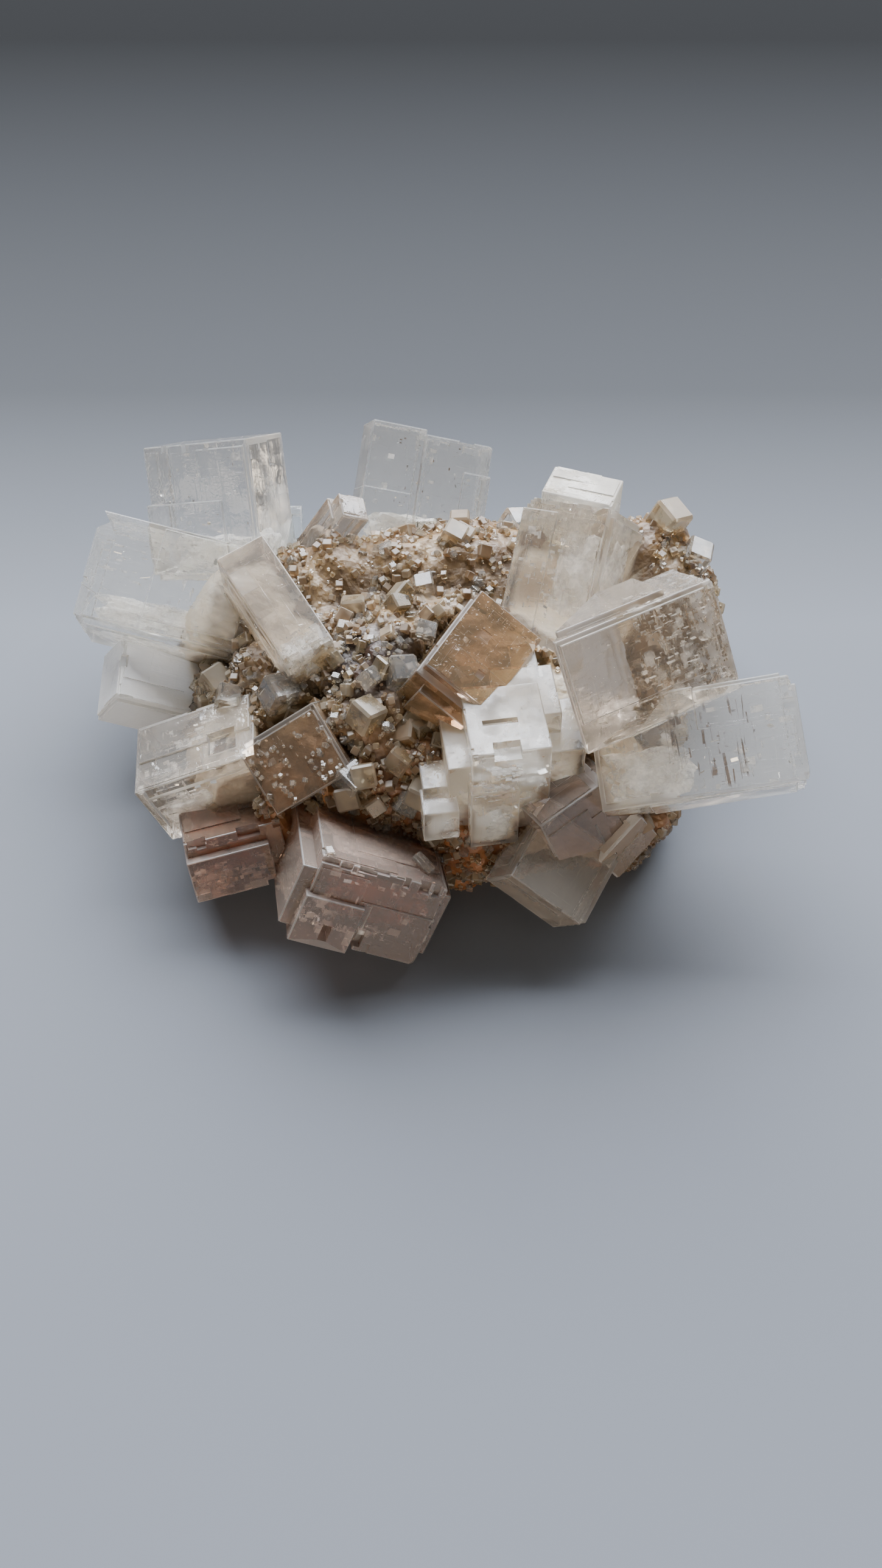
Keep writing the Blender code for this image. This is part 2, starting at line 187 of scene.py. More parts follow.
def block_frame(block):
    """Axes of a block: X along its growth, Z towards its upper side, origin at its foot."""
    turn = (
        Matrix.Rotation(math.radians(block.bearing), 4, "Z")
        @ Matrix.Rotation(-math.radians(block.lift), 4, "Y")
        @ Matrix.Rotation(math.radians(block.spin), 4, "X")
    )
    return Matrix.Translation(Vector(block.foot)) @ turn


def beside(block, shift, size):
    """A block grown parallel to another; shift and size are along that block's own axes."""
    foot = block_frame(block) @ Vector(shift)
    return Block(tuple(foot), block.bearing, block.lift, block.spin, size)


def turned(block, shift, turn, size):
    """A block set at an angle, in degrees about another block's own axes, as a break in it is."""
    frame_of_break = block_frame(block) @ Matrix.Translation(Vector(shift))
    frame_of_break = frame_of_break @ Euler([math.radians(a) for a in turn]).to_matrix().to_4x4()
    growth = frame_of_break.to_3x3() @ Vector((1, 0, 0))
    bearing = math.degrees(math.atan2(growth.y, growth.x))
    lift = math.degrees(math.asin(max(-1, min(1, growth.z))))
    level = block_frame(Block((0, 0, 0), bearing, lift, 0, size)).to_3x3()
    side = level.inverted() @ (frame_of_break.to_3x3() @ Vector((0, 1, 0)))
    spin = math.degrees(math.atan2(side.z, side.y))
    return Block(tuple(frame_of_break.translation), bearing, lift, spin, size)


def block_shape(block, margin=0.0, wear=0.0):
    """A cuboid from the block's foot outwards, with its edges worn round."""
    shape = bmesh.new()
    bmesh.ops.create_cube(shape, size=1)
    bmesh.ops.scale(shape, vec=[edge + 2 * margin for edge in block.size], verts=shape.verts)
    if wear:
        rounding = {"offset_type": "OFFSET", "segments": 2, "profile": 0.5, "material": -1}
        edges = list(shape.edges)
        bmesh.ops.bevel(shape, geom=edges, offset=wear, affect="EDGES", clamp_overlap=True, **rounding)
    bmesh.ops.translate(shape, vec=(block.size[0] / 2, 0, 0), verts=shape.verts)
    bmesh.ops.transform(shape, matrix=block_frame(block), verts=shape.verts)
    return shape


def growth_plates(block, count, seed):
    """Thin layers of later growth on the block's faces, each stopping short of some edges."""
    draw = random.Random(seed)
    plates = []
    for _ in range(count):
        low = [draw.uniform(0.5, 2.0), -block.size[1] / 2, -block.size[2] / 2]
        high = [block.size[0], block.size[1] / 2, block.size[2] / 2]
        axis, outer = draw.choice([(0, 1), (1, 0), (1, 1), (2, 0), (2, 1), (2, 1)])
        for i in range(3):
            if i == axis:
                continue
            span = high[i] - low[i]
            near, far = draw.choice([(0.03, 0.5), (0.35, 0.04), (0.12, 0.3), (0.04, 0.2)])
            low[i] += span * near * draw.uniform(0.7, 1.3)
            high[i] -= span * far * draw.uniform(0.7, 1.3)
        rise = draw.uniform(0.07, 0.2)
        if outer:
            high[axis] += rise
            low[axis] = high[axis] - 1.5 - rise
        else:
            low[axis] -= rise
            high[axis] = low[axis] + 1.5 + rise
        size = tuple(high[i] - low[i] for i in range(3))
        shift = (low[0], (low[1] + high[1]) / 2, (low[2] + high[2]) / 2)
        plates.append(beside(block, shift, size))
    return plates


def edge_chips(block, count, seed, largest=1.2):
    """Small square steps that cleavage leaves along the block's outer edges and corners."""
    draw = random.Random(seed)
    chips = []
    for _ in range(count):
        side = draw.choice([-0.5, 0.5]) * block.size[1]
        rise = draw.choice([-0.5, 0.5]) * block.size[2]
        centre = [block.size[0], side, rise]
        free = draw.choice([0, 0, 1, 2])
        if free == 0:
            centre[0] = block.size[0] * draw.uniform(0.35, 1.0)
        else:
            centre[free] = block.size[free] * draw.uniform(-0.5, 0.5)
        deep = draw.uniform(0.12, 0.45)
        size = [deep, deep * draw.uniform(0.6, 1.6), deep * draw.uniform(0.6, 1.6)]
        size[free] = draw.uniform(0.4, largest)
        chips.append(beside(block, (centre[0] - size[0] / 2, centre[1], centre[2]), tuple(size)))
    return chips


def combine(body, shape, operation):
    """Join a shape to the body or cut it away."""
    mesh = bpy.data.meshes.new("tool")
    shape.to_mesh(mesh)
    shape.free()
    tool = bpy.data.objects.new("tool", mesh)
    bpy.context.scene.collection.objects.link(tool)
    step = body.modifiers.new("step", "BOOLEAN")
    step.operation = operation
    step.solver = "EXACT"
    step.object = tool
    result = bpy.data.meshes.new_from_object(body.evaluated_get(bpy.context.evaluated_depsgraph_get()))
    body.modifiers.clear()
    former = body.data
    body.data = result
    bpy.data.meshes.remove(former)
    bpy.data.objects.remove(tool)
    bpy.data.meshes.remove(mesh)


def reach_box(block, margin=0.0):
    """Upright box around a block, as lowest and highest corners."""
    shape = block_shape(block, margin)
    corners = [[vert.co[i] for vert in shape.verts] for i in range(3)]
    shape.free()
    return [(min(c), max(c)) for c in corners]


def boxes_meet(one, other):
    """Whether two upright boxes overlap."""
    return all(a[0] <= b[1] and b[0] <= a[1] for a, b in zip(one, other))


def ragged_steps(block, count, seed):
    """Larger cleavage steps that leave the crystal's outer end ragged."""
    draw = random.Random(seed)
    steps = []
    for _ in range(count):
        deep = draw.uniform(0.25, 0.9)
        wide = draw.uniform(0.5, 2.4)
        tall = draw.uniform(0.5, 2.4)
        side = draw.uniform(-0.5, 0.5) * block.size[1]
        rise = draw.choice([-0.5, 0.5, 0.5]) * block.size[2]
        steps.append(beside(block, (block.size[0] - deep, side, rise), (deep * 2, wide, tall)))
    return steps


def grow_crystal(name, first, others=(), breaks=(), plates=6, chips=14, seed=1, ragged=0, pale=1.0):
    """One closed crystal: its blocks and plates joined, then chipped and fitted to its neighbours.

    The others are grown beside the first block, each by its shift and size. A break is a shift
    and a size too, with its turn between them where it is set at an angle.
    """
    wear = 0.14
    gap_to_neighbour = 0.07
    ground_height = 0.4
    blocks = [first] + [beside(first, *other) for other in others]
    gaps = [turned(first, *gap) if len(gap) == 3 else beside(first, *gap) for gap in breaks]
    body = to_piece(block_shape(first, wear=wear), name, unit=1)
    for block in blocks[1:]:
        combine(body, block_shape(block, wear=wear), "UNION")
    for plate in growth_plates(first, plates, seed):
        combine(body, block_shape(plate), "UNION")
    for place, block in enumerate(blocks[:3]):
        for chip in edge_chips(block, chips if place == 0 else chips // 3, seed + place + 50):
            combine(body, block_shape(chip), "DIFFERENCE")
    for gap in gaps + ragged_steps(first, ragged, seed + 90):
        combine(body, block_shape(gap), "DIFFERENCE")
    own = [reach_box(block) for block in blocks]
    for block in grown_before:
        if any(boxes_meet(reach_box(block, gap_to_neighbour), box) for box in own):
            combine(body, block_shape(block, gap_to_neighbour), "DIFFERENCE")
    ground = Block((-100, 0, ground_height - 50), 0, 0, 0, (200, 200, 100))
    combine(body, block_shape(ground), "DIFFERENCE")
    grown_before.extend(blocks)
    # How cream the skin under this crystal turns: pale salt at its root, and painted light for the light
    # its glass keeps out.
    root_cream_share_and_painted_light.extend([pale] * len(blocks))
    shape = bmesh.new()
    shape.from_mesh(body.data)
    drop_crumbs(shape)
    # Faces narrower than 0.8 mm look worn, and fully so below 0.3 mm.
    worn = shape.faces.layers.float.new("worn")
    for face in shape.faces:
        width = 2 * face.calc_area() / max(face.calc_perimeter(), 1e-6)
        face[worn] = max(0.0, min(1.0, (0.8 - width) / 0.5))
    shape.to_mesh(body.data)
    shape.free()
    body.data.transform(Matrix.Scale(0.001, 4))
    return body


def drop_crumbs(shape):
    """Delete all but the largest body of a mesh."""
    unseen = set(shape.verts)
    islands = []
    while unseen:
        island = {unseen.pop()}
        rim_of_island = list(island)
        while rim_of_island:
            for link in rim_of_island.pop().link_edges:
                for vert in link.verts:
                    if vert in unseen:
                        unseen.discard(vert)
                        island.add(vert)
                        rim_of_island.append(vert)
        islands.append(island)
    islands.sort(key=len, reverse=True)
    for crumb in islands[1:]:
        bmesh.ops.delete(shape, geom=list(crumb), context="VERTS")


def rock_salt(name, block, surface, absorbed, density, clear=0.9, rough=(0.01, 0.1), frost=None):
    """Clear rock salt seen along its own axes: flat faces with a slight mosaic of growth sectors."""
    material, tree = new_material(name)
    where = add_node(tree, "TexCoord")
    turn = block_frame(block).to_euler()
    along = add_node(
        tree,
        "Mapping",
        {"vector_type": "TEXTURE", "Location": [c * 0.001 for c in block.foot], "Rotation": turn},
        {"Vector": (where, "Object")},
    )
    # Growth sectors of about 3 by 2 mm, each tilted by about a degree.
    wobble = add_node(tree, "TexNoise", {"Scale": 150.0, "Detail": 1.0}, {"Vector": (along, 0)})
    bent = add_node(
        tree,
        "VectorMath",
        {"operation": "MULTIPLY_ADD", 1: (0.0012, 0.0012, 0.0012)},
        {0: (wobble, "Color"), 2: (along, 0)},
    )
    sector = add_node(
        tree,
        "VectorMath",
        {"operation": "SNAP", 1: (0.0031, 0.0023, 0.0027)},
        {0: (bent, 0)},
    )
    tilt = add_node(tree, "TexWhiteNoise", {"noise_dimensions": "3D"}, {"Vector": (sector, 0)})
    tilt = add_node(tree, "VectorMath", {"operation": "SUBTRACT", 1: (0.5, 0.5, 0.5)}, {0: (tilt, "Color")})
    slope = add_node(tree, "VectorMath", {"operation": "DOT_PRODUCT"}, {0: (tilt, 0), 1: (along, 0)})
    slope = add_node(tree, "Math", {"operation": "MULTIPLY", 1: 0.035}, {0: (slope, "Value")})
    # Steps of 0.8 mm where the face grew in patches, and a slow swell of the whole face.
    patch = add_node(tree, "TexNoise", {"Scale": 260.0, "Detail": 3.0}, {"Vector": (along, 0)})
    small = add_node(
        tree,
        "VectorMath",
        {"operation": "SNAP", 1: (0.0011, 0.0008, 0.0009)},
        {0: (along, 0)},
    )
    height = add_node(tree, "TexWhiteNoise", {"noise_dimensions": "3D"}, {"Vector": (small, 0)})
    patchy = add_node(tree, "MapRange", {1: 0.5, 2: 0.6}, {0: (patch, "Fac")})
    splinter = add_node(
        tree,
        "TexNoise",
        {"Scale": 700.0, "Detail": 4.0, "Roughness": 0.7},
        {"Vector": (bent, 0)},
    )
    splinter = add_node(tree, "MapRange", {1: 0.5, 2: 0.56}, {0: (splinter, "Fac")})
    steps = add_node(tree, "Math", {"operation": "MULTIPLY"}, {0: (height, "Value"), 1: (patchy, 0)})
    relief = add_node(
        tree,
        "Math",
        {"operation": "MULTIPLY_ADD", 1: 0.00003},
        {0: (steps, 0), 2: (slope, 0)},
    )
    relief = add_node(
        tree,
        "Math",
        {"operation": "MULTIPLY_ADD", 1: 0.00025},
        {0: (wobble, "Fac"), 2: (relief, 0)},
    )
    # Etching too fine to see as pits, and scratches that run along the crystal.
    etched = add_node(tree, "TexNoise", {"Scale": 3500.0, "Detail": 2.0}, {"Vector": (along, 0)})
    relief = add_node(
        tree,
        "Math",
        {"operation": "MULTIPLY_ADD", 1: 0.00001},
        {0: (etched, "Fac"), 2: (relief, 0)},
    )
    drawn = add_node(tree, "Mapping", {"Scale": (90.0, 2400.0, 2400.0)}, {"Vector": (along, 0)})
    streak = add_node(tree, "TexNoise", {"Scale": 1.0, "Detail": 2.0}, {"Vector": (drawn, 0)})
    streak = add_node(tree, "MapRange", {1: 0.6, 2: 0.7}, {0: (streak, "Fac")})
    relief = add_node(
        tree,
        "Math",
        {"operation": "MULTIPLY_ADD", 1: 0.00001},
        {0: (streak, 0), 2: (relief, 0)},
    )
    bump = add_node(tree, "Bump", {"Strength": 1.0, "Distance": 1.0}, {"Height": (relief, 0)})
    # Worn edges, small steps and frosted ends are whiter and duller than the faces.
    haze = add_node(tree, "MapRange", {1: 0.4, 2: 0.68, 3: rough[0], 4: rough[1]}, {0: (patch, "Fac")})
    haze = add_node(tree, "Math", {"operation": "MULTIPLY_ADD", 1: 0.15}, {0: (streak, 0), 2: (haze, 0)})
    dull = add_node(tree, "Attribute", {"attribute_name": "worn"})
    dull = add_node(tree, "Math", {"operation": "MULTIPLY", 1: 0.8}, {0: (dull, "Fac")})
    if frost:
        axes = add_node(tree, "SeparateXYZ", {}, {"Vector": (along, 0)})
        near_end = add_node(tree, "MapRange", {1: frost[0] * 0.001, 2: frost[1] * 0.001}, {0: (axes, "X")})
        near_end = add_node(tree, "Math", {"operation": "MULTIPLY"}, {0: (near_end, 0), 1: (splinter, 0)})
        dull = add_node(tree, "Math", {"operation": "MAXIMUM"}, {0: (dull, 0), 1: (near_end, 0)})
    haze = add_node(tree, "Mix", {"data_type": "FLOAT", 3: 0.5}, {0: (dull, 0), 2: (haze, 0)})
    tint = add_node(
        tree,
        "Mix",
        {"data_type": "RGBA", 6: linear(surface), 7: linear("#FFFDF8")},
        {0: (dull, 0)},
    )
    shader = add_node(
        tree,
        "BsdfPrincipled",
        {"IOR": 1.544, "Transmission Weight": clear},
        {"Base Color": (tint, 2), "Roughness": (haze, 0), "Normal": (bump, "Normal")},
    )
    inside = add_node(tree, "VolumeAbsorption", {"Color": linear(absorbed), "Density": density})
    add_node(tree, "OutputMaterial", {}, {"Surface": (shader, "BSDF"), "Volume": (inside, "Volume")})
    return material


# Cleavage cracks inside a crystal: small flat gaps along the cube planes. Most are frosted films
# that scatter what comes through; a few are clean air films that mirror the light.
frosted_crack, tree = new_material("frosted_cleavage_crack")
where = add_node(tree, "TexCoord")
shine = add_node(tree, "TexNoise", {"Scale": 700.0, "Detail": 3.0}, {"Vector": (where, "Object")})
ragged_film = add_node(tree, "MapRange", {1: 0.4, 2: 0.6, 3: 0.0, 4: 0.9}, {0: (shine, "Fac")})
shader = add_node(
    tree,
    "BsdfPrincipled",
    {"Base Color": linear("#FFFEFC"), "Roughness": 0.6, "IOR": 1.33, "Transmission Weight": 0.6},
    {"Alpha": (ragged_film, 0)},
)
add_node(tree, "OutputMaterial", {}, {"Surface": (shader, "BSDF")})

air_film, tree = new_material("air_film_in_cleavage")
shader = add_node(
    tree,
    "BsdfPrincipled",
    {"Base Color": linear("#FFFEFA"), "Metallic": 1.0, "Roughness": 0.12},
)
add_node(tree, "OutputMaterial", {}, {"Surface": (shader, "BSDF")})

clay_film, tree = new_material("clay_settled_in_cleavage")
where = add_node(tree, "TexCoord")
smear = add_node(tree, "TexNoise", {"Scale": 600.0, "Detail": 4.0}, {"Vector": (where, "Object")})
smear = add_node(tree, "MapRange", {1: 0.4, 2: 0.58, 3: 0.0, 4: 0.85}, {0: (smear, "Fac")})
shader = add_node(
    tree,
    "BsdfPrincipled",
    {"Base Color": linear("#6E5238"), "Roughness": 0.9},
    {"Alpha": (smear, 0)},
)
add_node(tree, "OutputMaterial", {}, {"Surface": (shader, "BSDF")})


def add_cracks(
    name, block, count, seed, largest=1.2, along=(0.1, 1), across=(-0.5, 0.5), up=(-0.5, 0.5),
    thin=None, films=(frosted_crack, air_film),
):
    """Thin flat cracks along the cube planes, within shares of the block along its three axes."""
    draw = random.Random(seed)
    zone = (along, across, up)
    thinness = 0.02
    cover_of_salt = 0.25
    shape = bmesh.new()
    frame_of_block = block_frame(block)
    widest = largest if isinstance(largest, tuple) else (largest,) * 3
    for number in range(count):
        mirror = number % 4 == 0 and len(films) > 1
        size = [edge * (0.25 + 0.75 * draw.random() ** 2) * (0.5 if mirror else 1) for edge in widest]
        size[draw.randrange(3) if thin is None else thin] = thinness
        place = [draw.uniform(*zone[i]) * block.size[i] for i in range(3)]
        low = [0, -block.size[1] / 2, -block.size[2] / 2]
        for i in range(3):
            least = low[i] + cover_of_salt + size[i] / 2
            most = low[i] + block.size[i] - cover_of_salt - size[i] / 2
            place[i] = max(least, min(most, place[i]))
        lean = Euler([math.radians(draw.uniform(-1, 1) * (24 if mirror else 4)) for _ in range(3)])
        move = frame_of_block @ Matrix.LocRotScale(Vector(place), lean, Vector(size))
        film = bmesh.ops.create_cube(shape, size=1, matrix=move)["verts"]
        for face in {face for vert in film for face in vert.link_faces}:
            face.material_index = 1 if mirror else 0
    piece = to_piece(shape, name)
    for film in films:
        piece.data.materials.append(film)
    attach(piece, "root")


def cloud_salt(name, colour, thickest):
    """Clouded salt inside a clear crystal: specks too fine to see, gathered in wisps."""
    material, tree = new_material(name)
    where = add_node(tree, "TexCoord")
    wisps = add_node(
        tree,
        "TexNoise",
        {"Scale": 420.0, "Detail": 4.0, "Roughness": 0.65},
        {"Vector": (where, "Object")},
    )
    thick = add_node(tree, "MapRange", {1: 0.4, 2: 0.62, 3: 0.06, 4: thickest}, {0: (wisps, "Fac")})
    settings = {"Base Color": linear(colour), "Roughness": 1.0, "IOR": 1.1}
    shader = add_node(tree, "BsdfPrincipled", settings, {"Alpha": (thick, 0)})
    add_node(tree, "OutputMaterial", {}, {"Surface": (shader, "BSDF")})
    return material


milk = cloud_salt("milky_rock_salt_cloud", "#FFFEFB", 0.7)
thin_milk = cloud_salt("thin_rock_salt_cloud", "#FFFEFB", 0.3)
mauve_milk = cloud_salt("mauve_rock_salt_cloud", "#F2E6E0", 0.3)
red_clay = cloud_salt("red_clay_cloud_in_rock_salt", "#A0552E", 0.6)


def add_cloud(name, block, reach, stuff=milk):
    """A cloud in the given share of a block, thin at its rim: four loose shells one in another."""
    shape = bmesh.new()
    middle_of_cloud = Vector([(low + high) / 2 * edge for (low, high), edge in zip(reach, block.size)])
    half = [(high - low) / 2 * edge for (low, high), edge in zip(reach, block.size)]
    for shell in (1.0, 0.8, 0.58, 0.34):
        known = len(shape.verts)
        bmesh.ops.create_icosphere(shape, subdivisions=4, radius=1)
        shape.verts.ensure_lookup_table()
        for vert in shape.verts[known:]:
            squared = vert.co / max(abs(c) for c in vert.co) ** 0.75
            loose = 0.8 + 0.25 * noise.noise(vert.co * 2.3 + middle_of_cloud)
            vert.co = Vector([squared[i] * half[i] * shell * loose for i in range(3)])
    move = block_frame(block) @ Matrix.Translation(middle_of_cloud)
    bmesh.ops.transform(shape, matrix=move, verts=shape.verts)
    piece = to_piece(shape, name)
    piece.data.materials.append(stuff)
    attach(piece, "root")


def place_crystal(piece, material, node):
    """Give the crystal its material and let it stand for its CAD solid."""
    piece.data.materials.clear()
    piece.data.materials.append(material)
    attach(piece, "root")
    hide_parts(node)


column_left = Block((-21, 11.4, 21.6), -57, -10, 6, (14.7, 5.6, 6.4))
left_column = grow_crystal(
    "left_column", column_left,
    [((0.4, 0.7, -0.9), (15.2, 3.6, 4.2)), ((0.9, -0.6, -1.7), (13.4, 5, 2.8))],
    [((15.1, 2.6, -3.2), (0, 0, 30), (3, 2.4, 9))],
    seed=3, ragged=10, pale=0.6,
)
smoky = rock_salt(
    "smoky_rock_salt_left_column", column_left, "#FAF4EA", "#B29A7E", 50.0, 0.9, frost=(12.0, 13.6)
)
place_crystal(left_column, smoky, "crystal_left_column")
add_cloud("left_column_cloud", column_left, ((0.8, 0.99), (-0.48, 0.45), (-0.48, 0.48)))
add_cracks("left_column_cracks", column_left, 60, 4, 1.4, along=(0.75, 1))


# ------------------------ left pair
# Two clear blocks of rock salt grown together at the upper left: one leans back, and the large one
# lies outwards, with fine scratches and streaks under its top and a milky underside.

back_left = Block((-23.5, 16.7, 12.6), 99, 47, -29, (15.5, 13, 8.5))
left_back = grow_crystal(
    "left_pair_back", back_left,
    [((0.4, -3.2, 0.5), (14.4, 6, 8.2)), ((0.8, 1.9, 0.8), (8.4, 9.6, 8.4))],
    seed=5, ragged=4,
)
clear_back = rock_salt("clear_rock_salt_left_back", back_left, "#FFFDF9", "#DDD2BC", 10.0, 0.94)
place_crystal(left_back, clear_back, "crystal_left_pair")

outer_left = Block((-20.5, 11, 13.2), 169, 9, -23, (18.5, 12, 9.5))
left_outer = grow_crystal(
    "left_pair_outer", outer_left,
    [((0.4, 0.6, -0.6), (17.2, 12.2, 8.9)), ((0.8, -0.4, 0.5), (10.4, 10.4, 9.3))],
    [((18.5, -6.4, 0), (0, 0, 38), (4, 4, 14)), ((17.5, 5.6, 5), (0, 0, -20), (4, 5, 1.4))],
    seed=7, ragged=3,
)
clear_outer = rock_salt(
    "clear_rock_salt_left_outer", outer_left, "#FFFDF8", "#DDD0B6", 8.0, 0.92, frost=(3.0, -1.0)
)
place_crystal(left_outer, clear_outer, "crystal_left_pair")
add_cracks(
    "left_back_specks", back_left, 40, 10, 0.35, along=(0.1, 0.9), up=(0.2, 0.5), films=(clay_film,)
)
add_cracks("left_back_cracks", back_left, 70, 6, 1.3, along=(0.05, 1))
add_cracks("left_outer_cracks", outer_left, 90, 8, 1.5, along=(0.02, 0.45), up=(0.1, 0.5))
outer_fleck = beside(outer_left, (8.4, 2.4, 4.2), (1.4, 1.3, 0.8))
add_cracks("left_outer_fleck", outer_fleck, 5, 12, 0.8, along=(0, 1), films=(clay_film,))
add_cracks(
    "left_outer_scratches", outer_left, 40, 13, (2.4, 0.3, 0.05),
    along=(0.6, 0.95), across=(-0.45, 0.1), up=(0.42, 0.5), thin=2,
)
add_cracks(
    "left_outer_streaks", outer_left, 26, 9, (5.0, 0.3, 0.3),
    along=(0.1, 0.9), across=(0.2, 0.5), thin=1,
)
add_cloud("left_back_cloud", back_left, ((0.0, 0.35), (-0.48, 0.48), (-0.45, 0.4)))
add_cloud("left_outer_cloud", outer_left, ((0.02, 0.97), (0.12, 0.49), (-0.49, 0.05)))


# ------------------------ front block
# The big front block of mauve-grey rock salt: five cuboids side by side that step its front, with
# red clay inside and a broken lower edge.

front = Block((-8.4, -13.2, 4.5), -81, 25, -27, (12.6, 13.6, 8.2))
front_block = grow_crystal(
    "front_block", front,
    [
        ((0.4, -1.3, -1.4), (11.6, 14, 7.4)),
        ((0.8, 1.2, -0.9), (10.9, 13.3, 7.7)),
        ((1.2, -3.9, -3.1), (12.2, 6.4, 5.8)),
        ((1.6, 3.4, -2.7), (11.2, 7, 6)),
    ],
    [((13, 0.3, -5.8), (0, 0, 20), (2, 2.6, 2.6)), ((12.6, 6.9, -5.2), (0, 20, 35), (3, 3.4, 3))],
    seed=11, ragged=14, pale=0.35,
)
mauve = rock_salt("mauve_rock_salt_front", front, "#EEDACA", "#A05A36", 100.0, 0.84)
place_crystal(front_block, mauve, "crystal_front_block")
add_cloud(
    "front_top_cloud", front, ((0.02, 0.9), (-0.48, 0.48), (0.34, 0.49)), mauve_milk
)
add_cloud(
    "front_clay_cloud", front, ((0.55, 0.96), (-0.4, 0.49), (-0.35, 0.3)), red_clay
)
add_cracks(
    "front_edge_cracks", front, 130, 42, 0.9,
    along=(0.9, 1.12), across=(-0.5, 0.2), up=(-0.7, -0.3),
)
add_cracks("front_cracks", front, 160, 12, 1.8, along=(0.55, 1))


# ------------------------ lower left group
# Three crystals grown into one another: a banded cream and brown block, a brown inner cube that
# stands on its corner, and a red-brown cube below them.

banded = Block((-17.8, -6.1, 11.9), -172, -20, 9, (13.9, 9.5, 8.5))
inner = Block((-13.2, -5.5, 9.5), -104, 50, 42, (9.5, 9, 7.6))
red = Block((-23, -9.3, 4.2), -76, 24, 3, (9.7, 10.2, 6.8))
banded_block = grow_crystal(
    "lower_left_banded", banded,
    [
        ((0.4, -1.6, 0.35), (13, 5, 8.4)),
        ((0.8, 0.1, -0.5), (12.2, 10, 7)),
        ((1.2, 2.2, -0.1), (13.1, 3, 7.3)),
    ],
    [((2.1, 1.4, 4.5), (3.2, 2.8, 1.4))],
    seed=13, pale=0.7,
)
cream = rock_salt("cream_rock_salt_banded", banded, "#FEF8EE", "#C2A27A", 30.0, 0.9)
place_crystal(banded_block, cream, "crystal_lower_left_group")
add_cracks(
    "banded_layers", banded, 46, 15, (9.0, 0.9, 0.7),
    along=(0.3, 0.9), across=(-0.3, 0.5), up=(-0.2, 0.5),
)
add_cloud("banded_cloud", banded, ((0.2, 0.96), (0.05, 0.48), (-0.46, 0.1)))

inner_cube = grow_crystal(
    "lower_left_inner", inner,
    [((0.4, 0.5, 0.6), (8.8, 8.6, 7.4))],
    [((9.36, 1.6, -1.4), (0.5, 1.1, 1.1)), ((9.36, -2, 1.2), (0.5, 0.7, 0.7))],
    seed=17, pale=0.1,
)
brown = rock_salt("brown_rock_salt_inner", inner, "#E2CCB0", "#A27850", 120.0, 0.9)
place_crystal(inner_cube, brown, "crystal_lower_left_group")

red_cube = grow_crystal(
    "lower_left_red", red,
    [((0.4, -0.9, -1), (10.3, 8.8, 5.2))],
    [((8.6, 4.2, -4.2), (0, 0, 24), (4, 5, 2.6)), ((9.6, -3.6, -4.6), (0, 0, -18), (3, 4, 2.2))],
    seed=19, ragged=10, pale=0.1,
)
red_brown = rock_salt("red_brown_rock_salt", red, "#EACAB0", "#9A4E28", 120.0, 0.9)
place_crystal(red_cube, red_brown, "crystal_lower_left_group")
add_cloud(
    "red_clay_cloud", red, ((0.2, 0.96), (-0.48, 0.48), (-0.3, 0.49)), red_clay
)
hollow_floor = beside(banded, (2.1, 1.4, 3.3), (3.2, 2.8, 0.8))
add_cracks(
    "banded_hollow_stain", hollow_floor, 12, 21, 2.0,
    along=(0, 1), thin=2, films=(clay_film,),
)
add_cracks(
    "banded_cracks", banded, 60, 14, 1.6, along=(0.3, 1), up=(0.0, 0.5)
)
add_cracks(
    "inner_specks", inner, 80, 16, 0.3, along=(0.7, 1), films=(clay_film,)
)
add_cracks("inner_cracks", inner, 50, 18, 0.6, along=(0.3, 1))
add_cracks("red_cracks", red, 160, 20, 1.4, along=(0.7, 1), up=(-0.5, 0.0))


# ------------------------ left low
# A milky block of rock salt under the outer left one, close to the table: two cuboids of nearly
# one size, with a cloud that makes the front side white, partly milky salt and partly a painted
# highlight for the light that the front face reflects.

low_left = Block((-26, 5.4, 4.4), -175, 30, -14, (12, 7.4, 7))
left_low = grow_crystal("left_low", low_left, [((0.4, 0.5, -0.6), (11.3, 7.1, 6.6))], seed=23, ragged=3)
# Its low clearness and the cloud below whiten the front side: partly milky salt, partly a painted
# highlight.
clear_low = rock_salt("clear_rock_salt_left_low", low_left, "#FFFEFC", "#DED6C4", 4.0, 0.55)
place_crystal(left_low, clear_low, "crystal_left_low")
add_cloud("left_low_cloud_and_painted_highlight", low_left, ((0.1, 0.98), (0.1, 0.49), (-0.48, 0.4)))
add_cracks("left_low_cracks", low_left, 40, 24, 1.3, along=(0.2, 1), across=(-0.1, 0.5))


# ------------------------ front steps
# The stepped cube of clear rock salt at the front: eight upright cuboids. Terraces climb to the
# back, smaller steps stand on its left, and clouds and layers of cracks lie low inside.

stair = Block((7, -11.5, 10.4), -82, 94, 0, (13, 8, 8.6))
front_steps = grow_crystal(
    "front_steps", stair,
    [
        ((2, 2.5, 3.5), (10.6, 6.7, 6.6)),
        ((3, 3.1, 6.8), (9.2, 3, 6)),
        ((0.4, -4.4, 0.3), (9.9, 3.8, 7.7)),
        ((0.8, -7.2, -1.2), (6, 3.3, 3.6)),
        ((1.2, -7.3, -3.8), (4.6, 3.7, 3.4)),
        ((-0.8, -1.8, -4.4), (9.1, 5, 2.4)),
        ((1.6, 5.9, 1.2), (7.9, 4.2, 6.9)),
    ],
    [((12.4, -0.6, -0.3), (2, 3.6, 0.7)), ((11.9, -0.4, -3.7), (2, 2.8, 1.7))],
    plates=3, seed=29, pale=0.8,
)
clear_steps = rock_salt("clear_rock_salt_steps", stair, "#FDFDFA", "#D6C29E", 14.0, 0.94, (0.02, 0.7))
place_crystal(front_steps, clear_steps, "crystal_front_steps")
add_cracks("steps_cracks", stair, 60, 30, 1.4, along=(0.1, 0.9), up=(-0.5, 0.3))
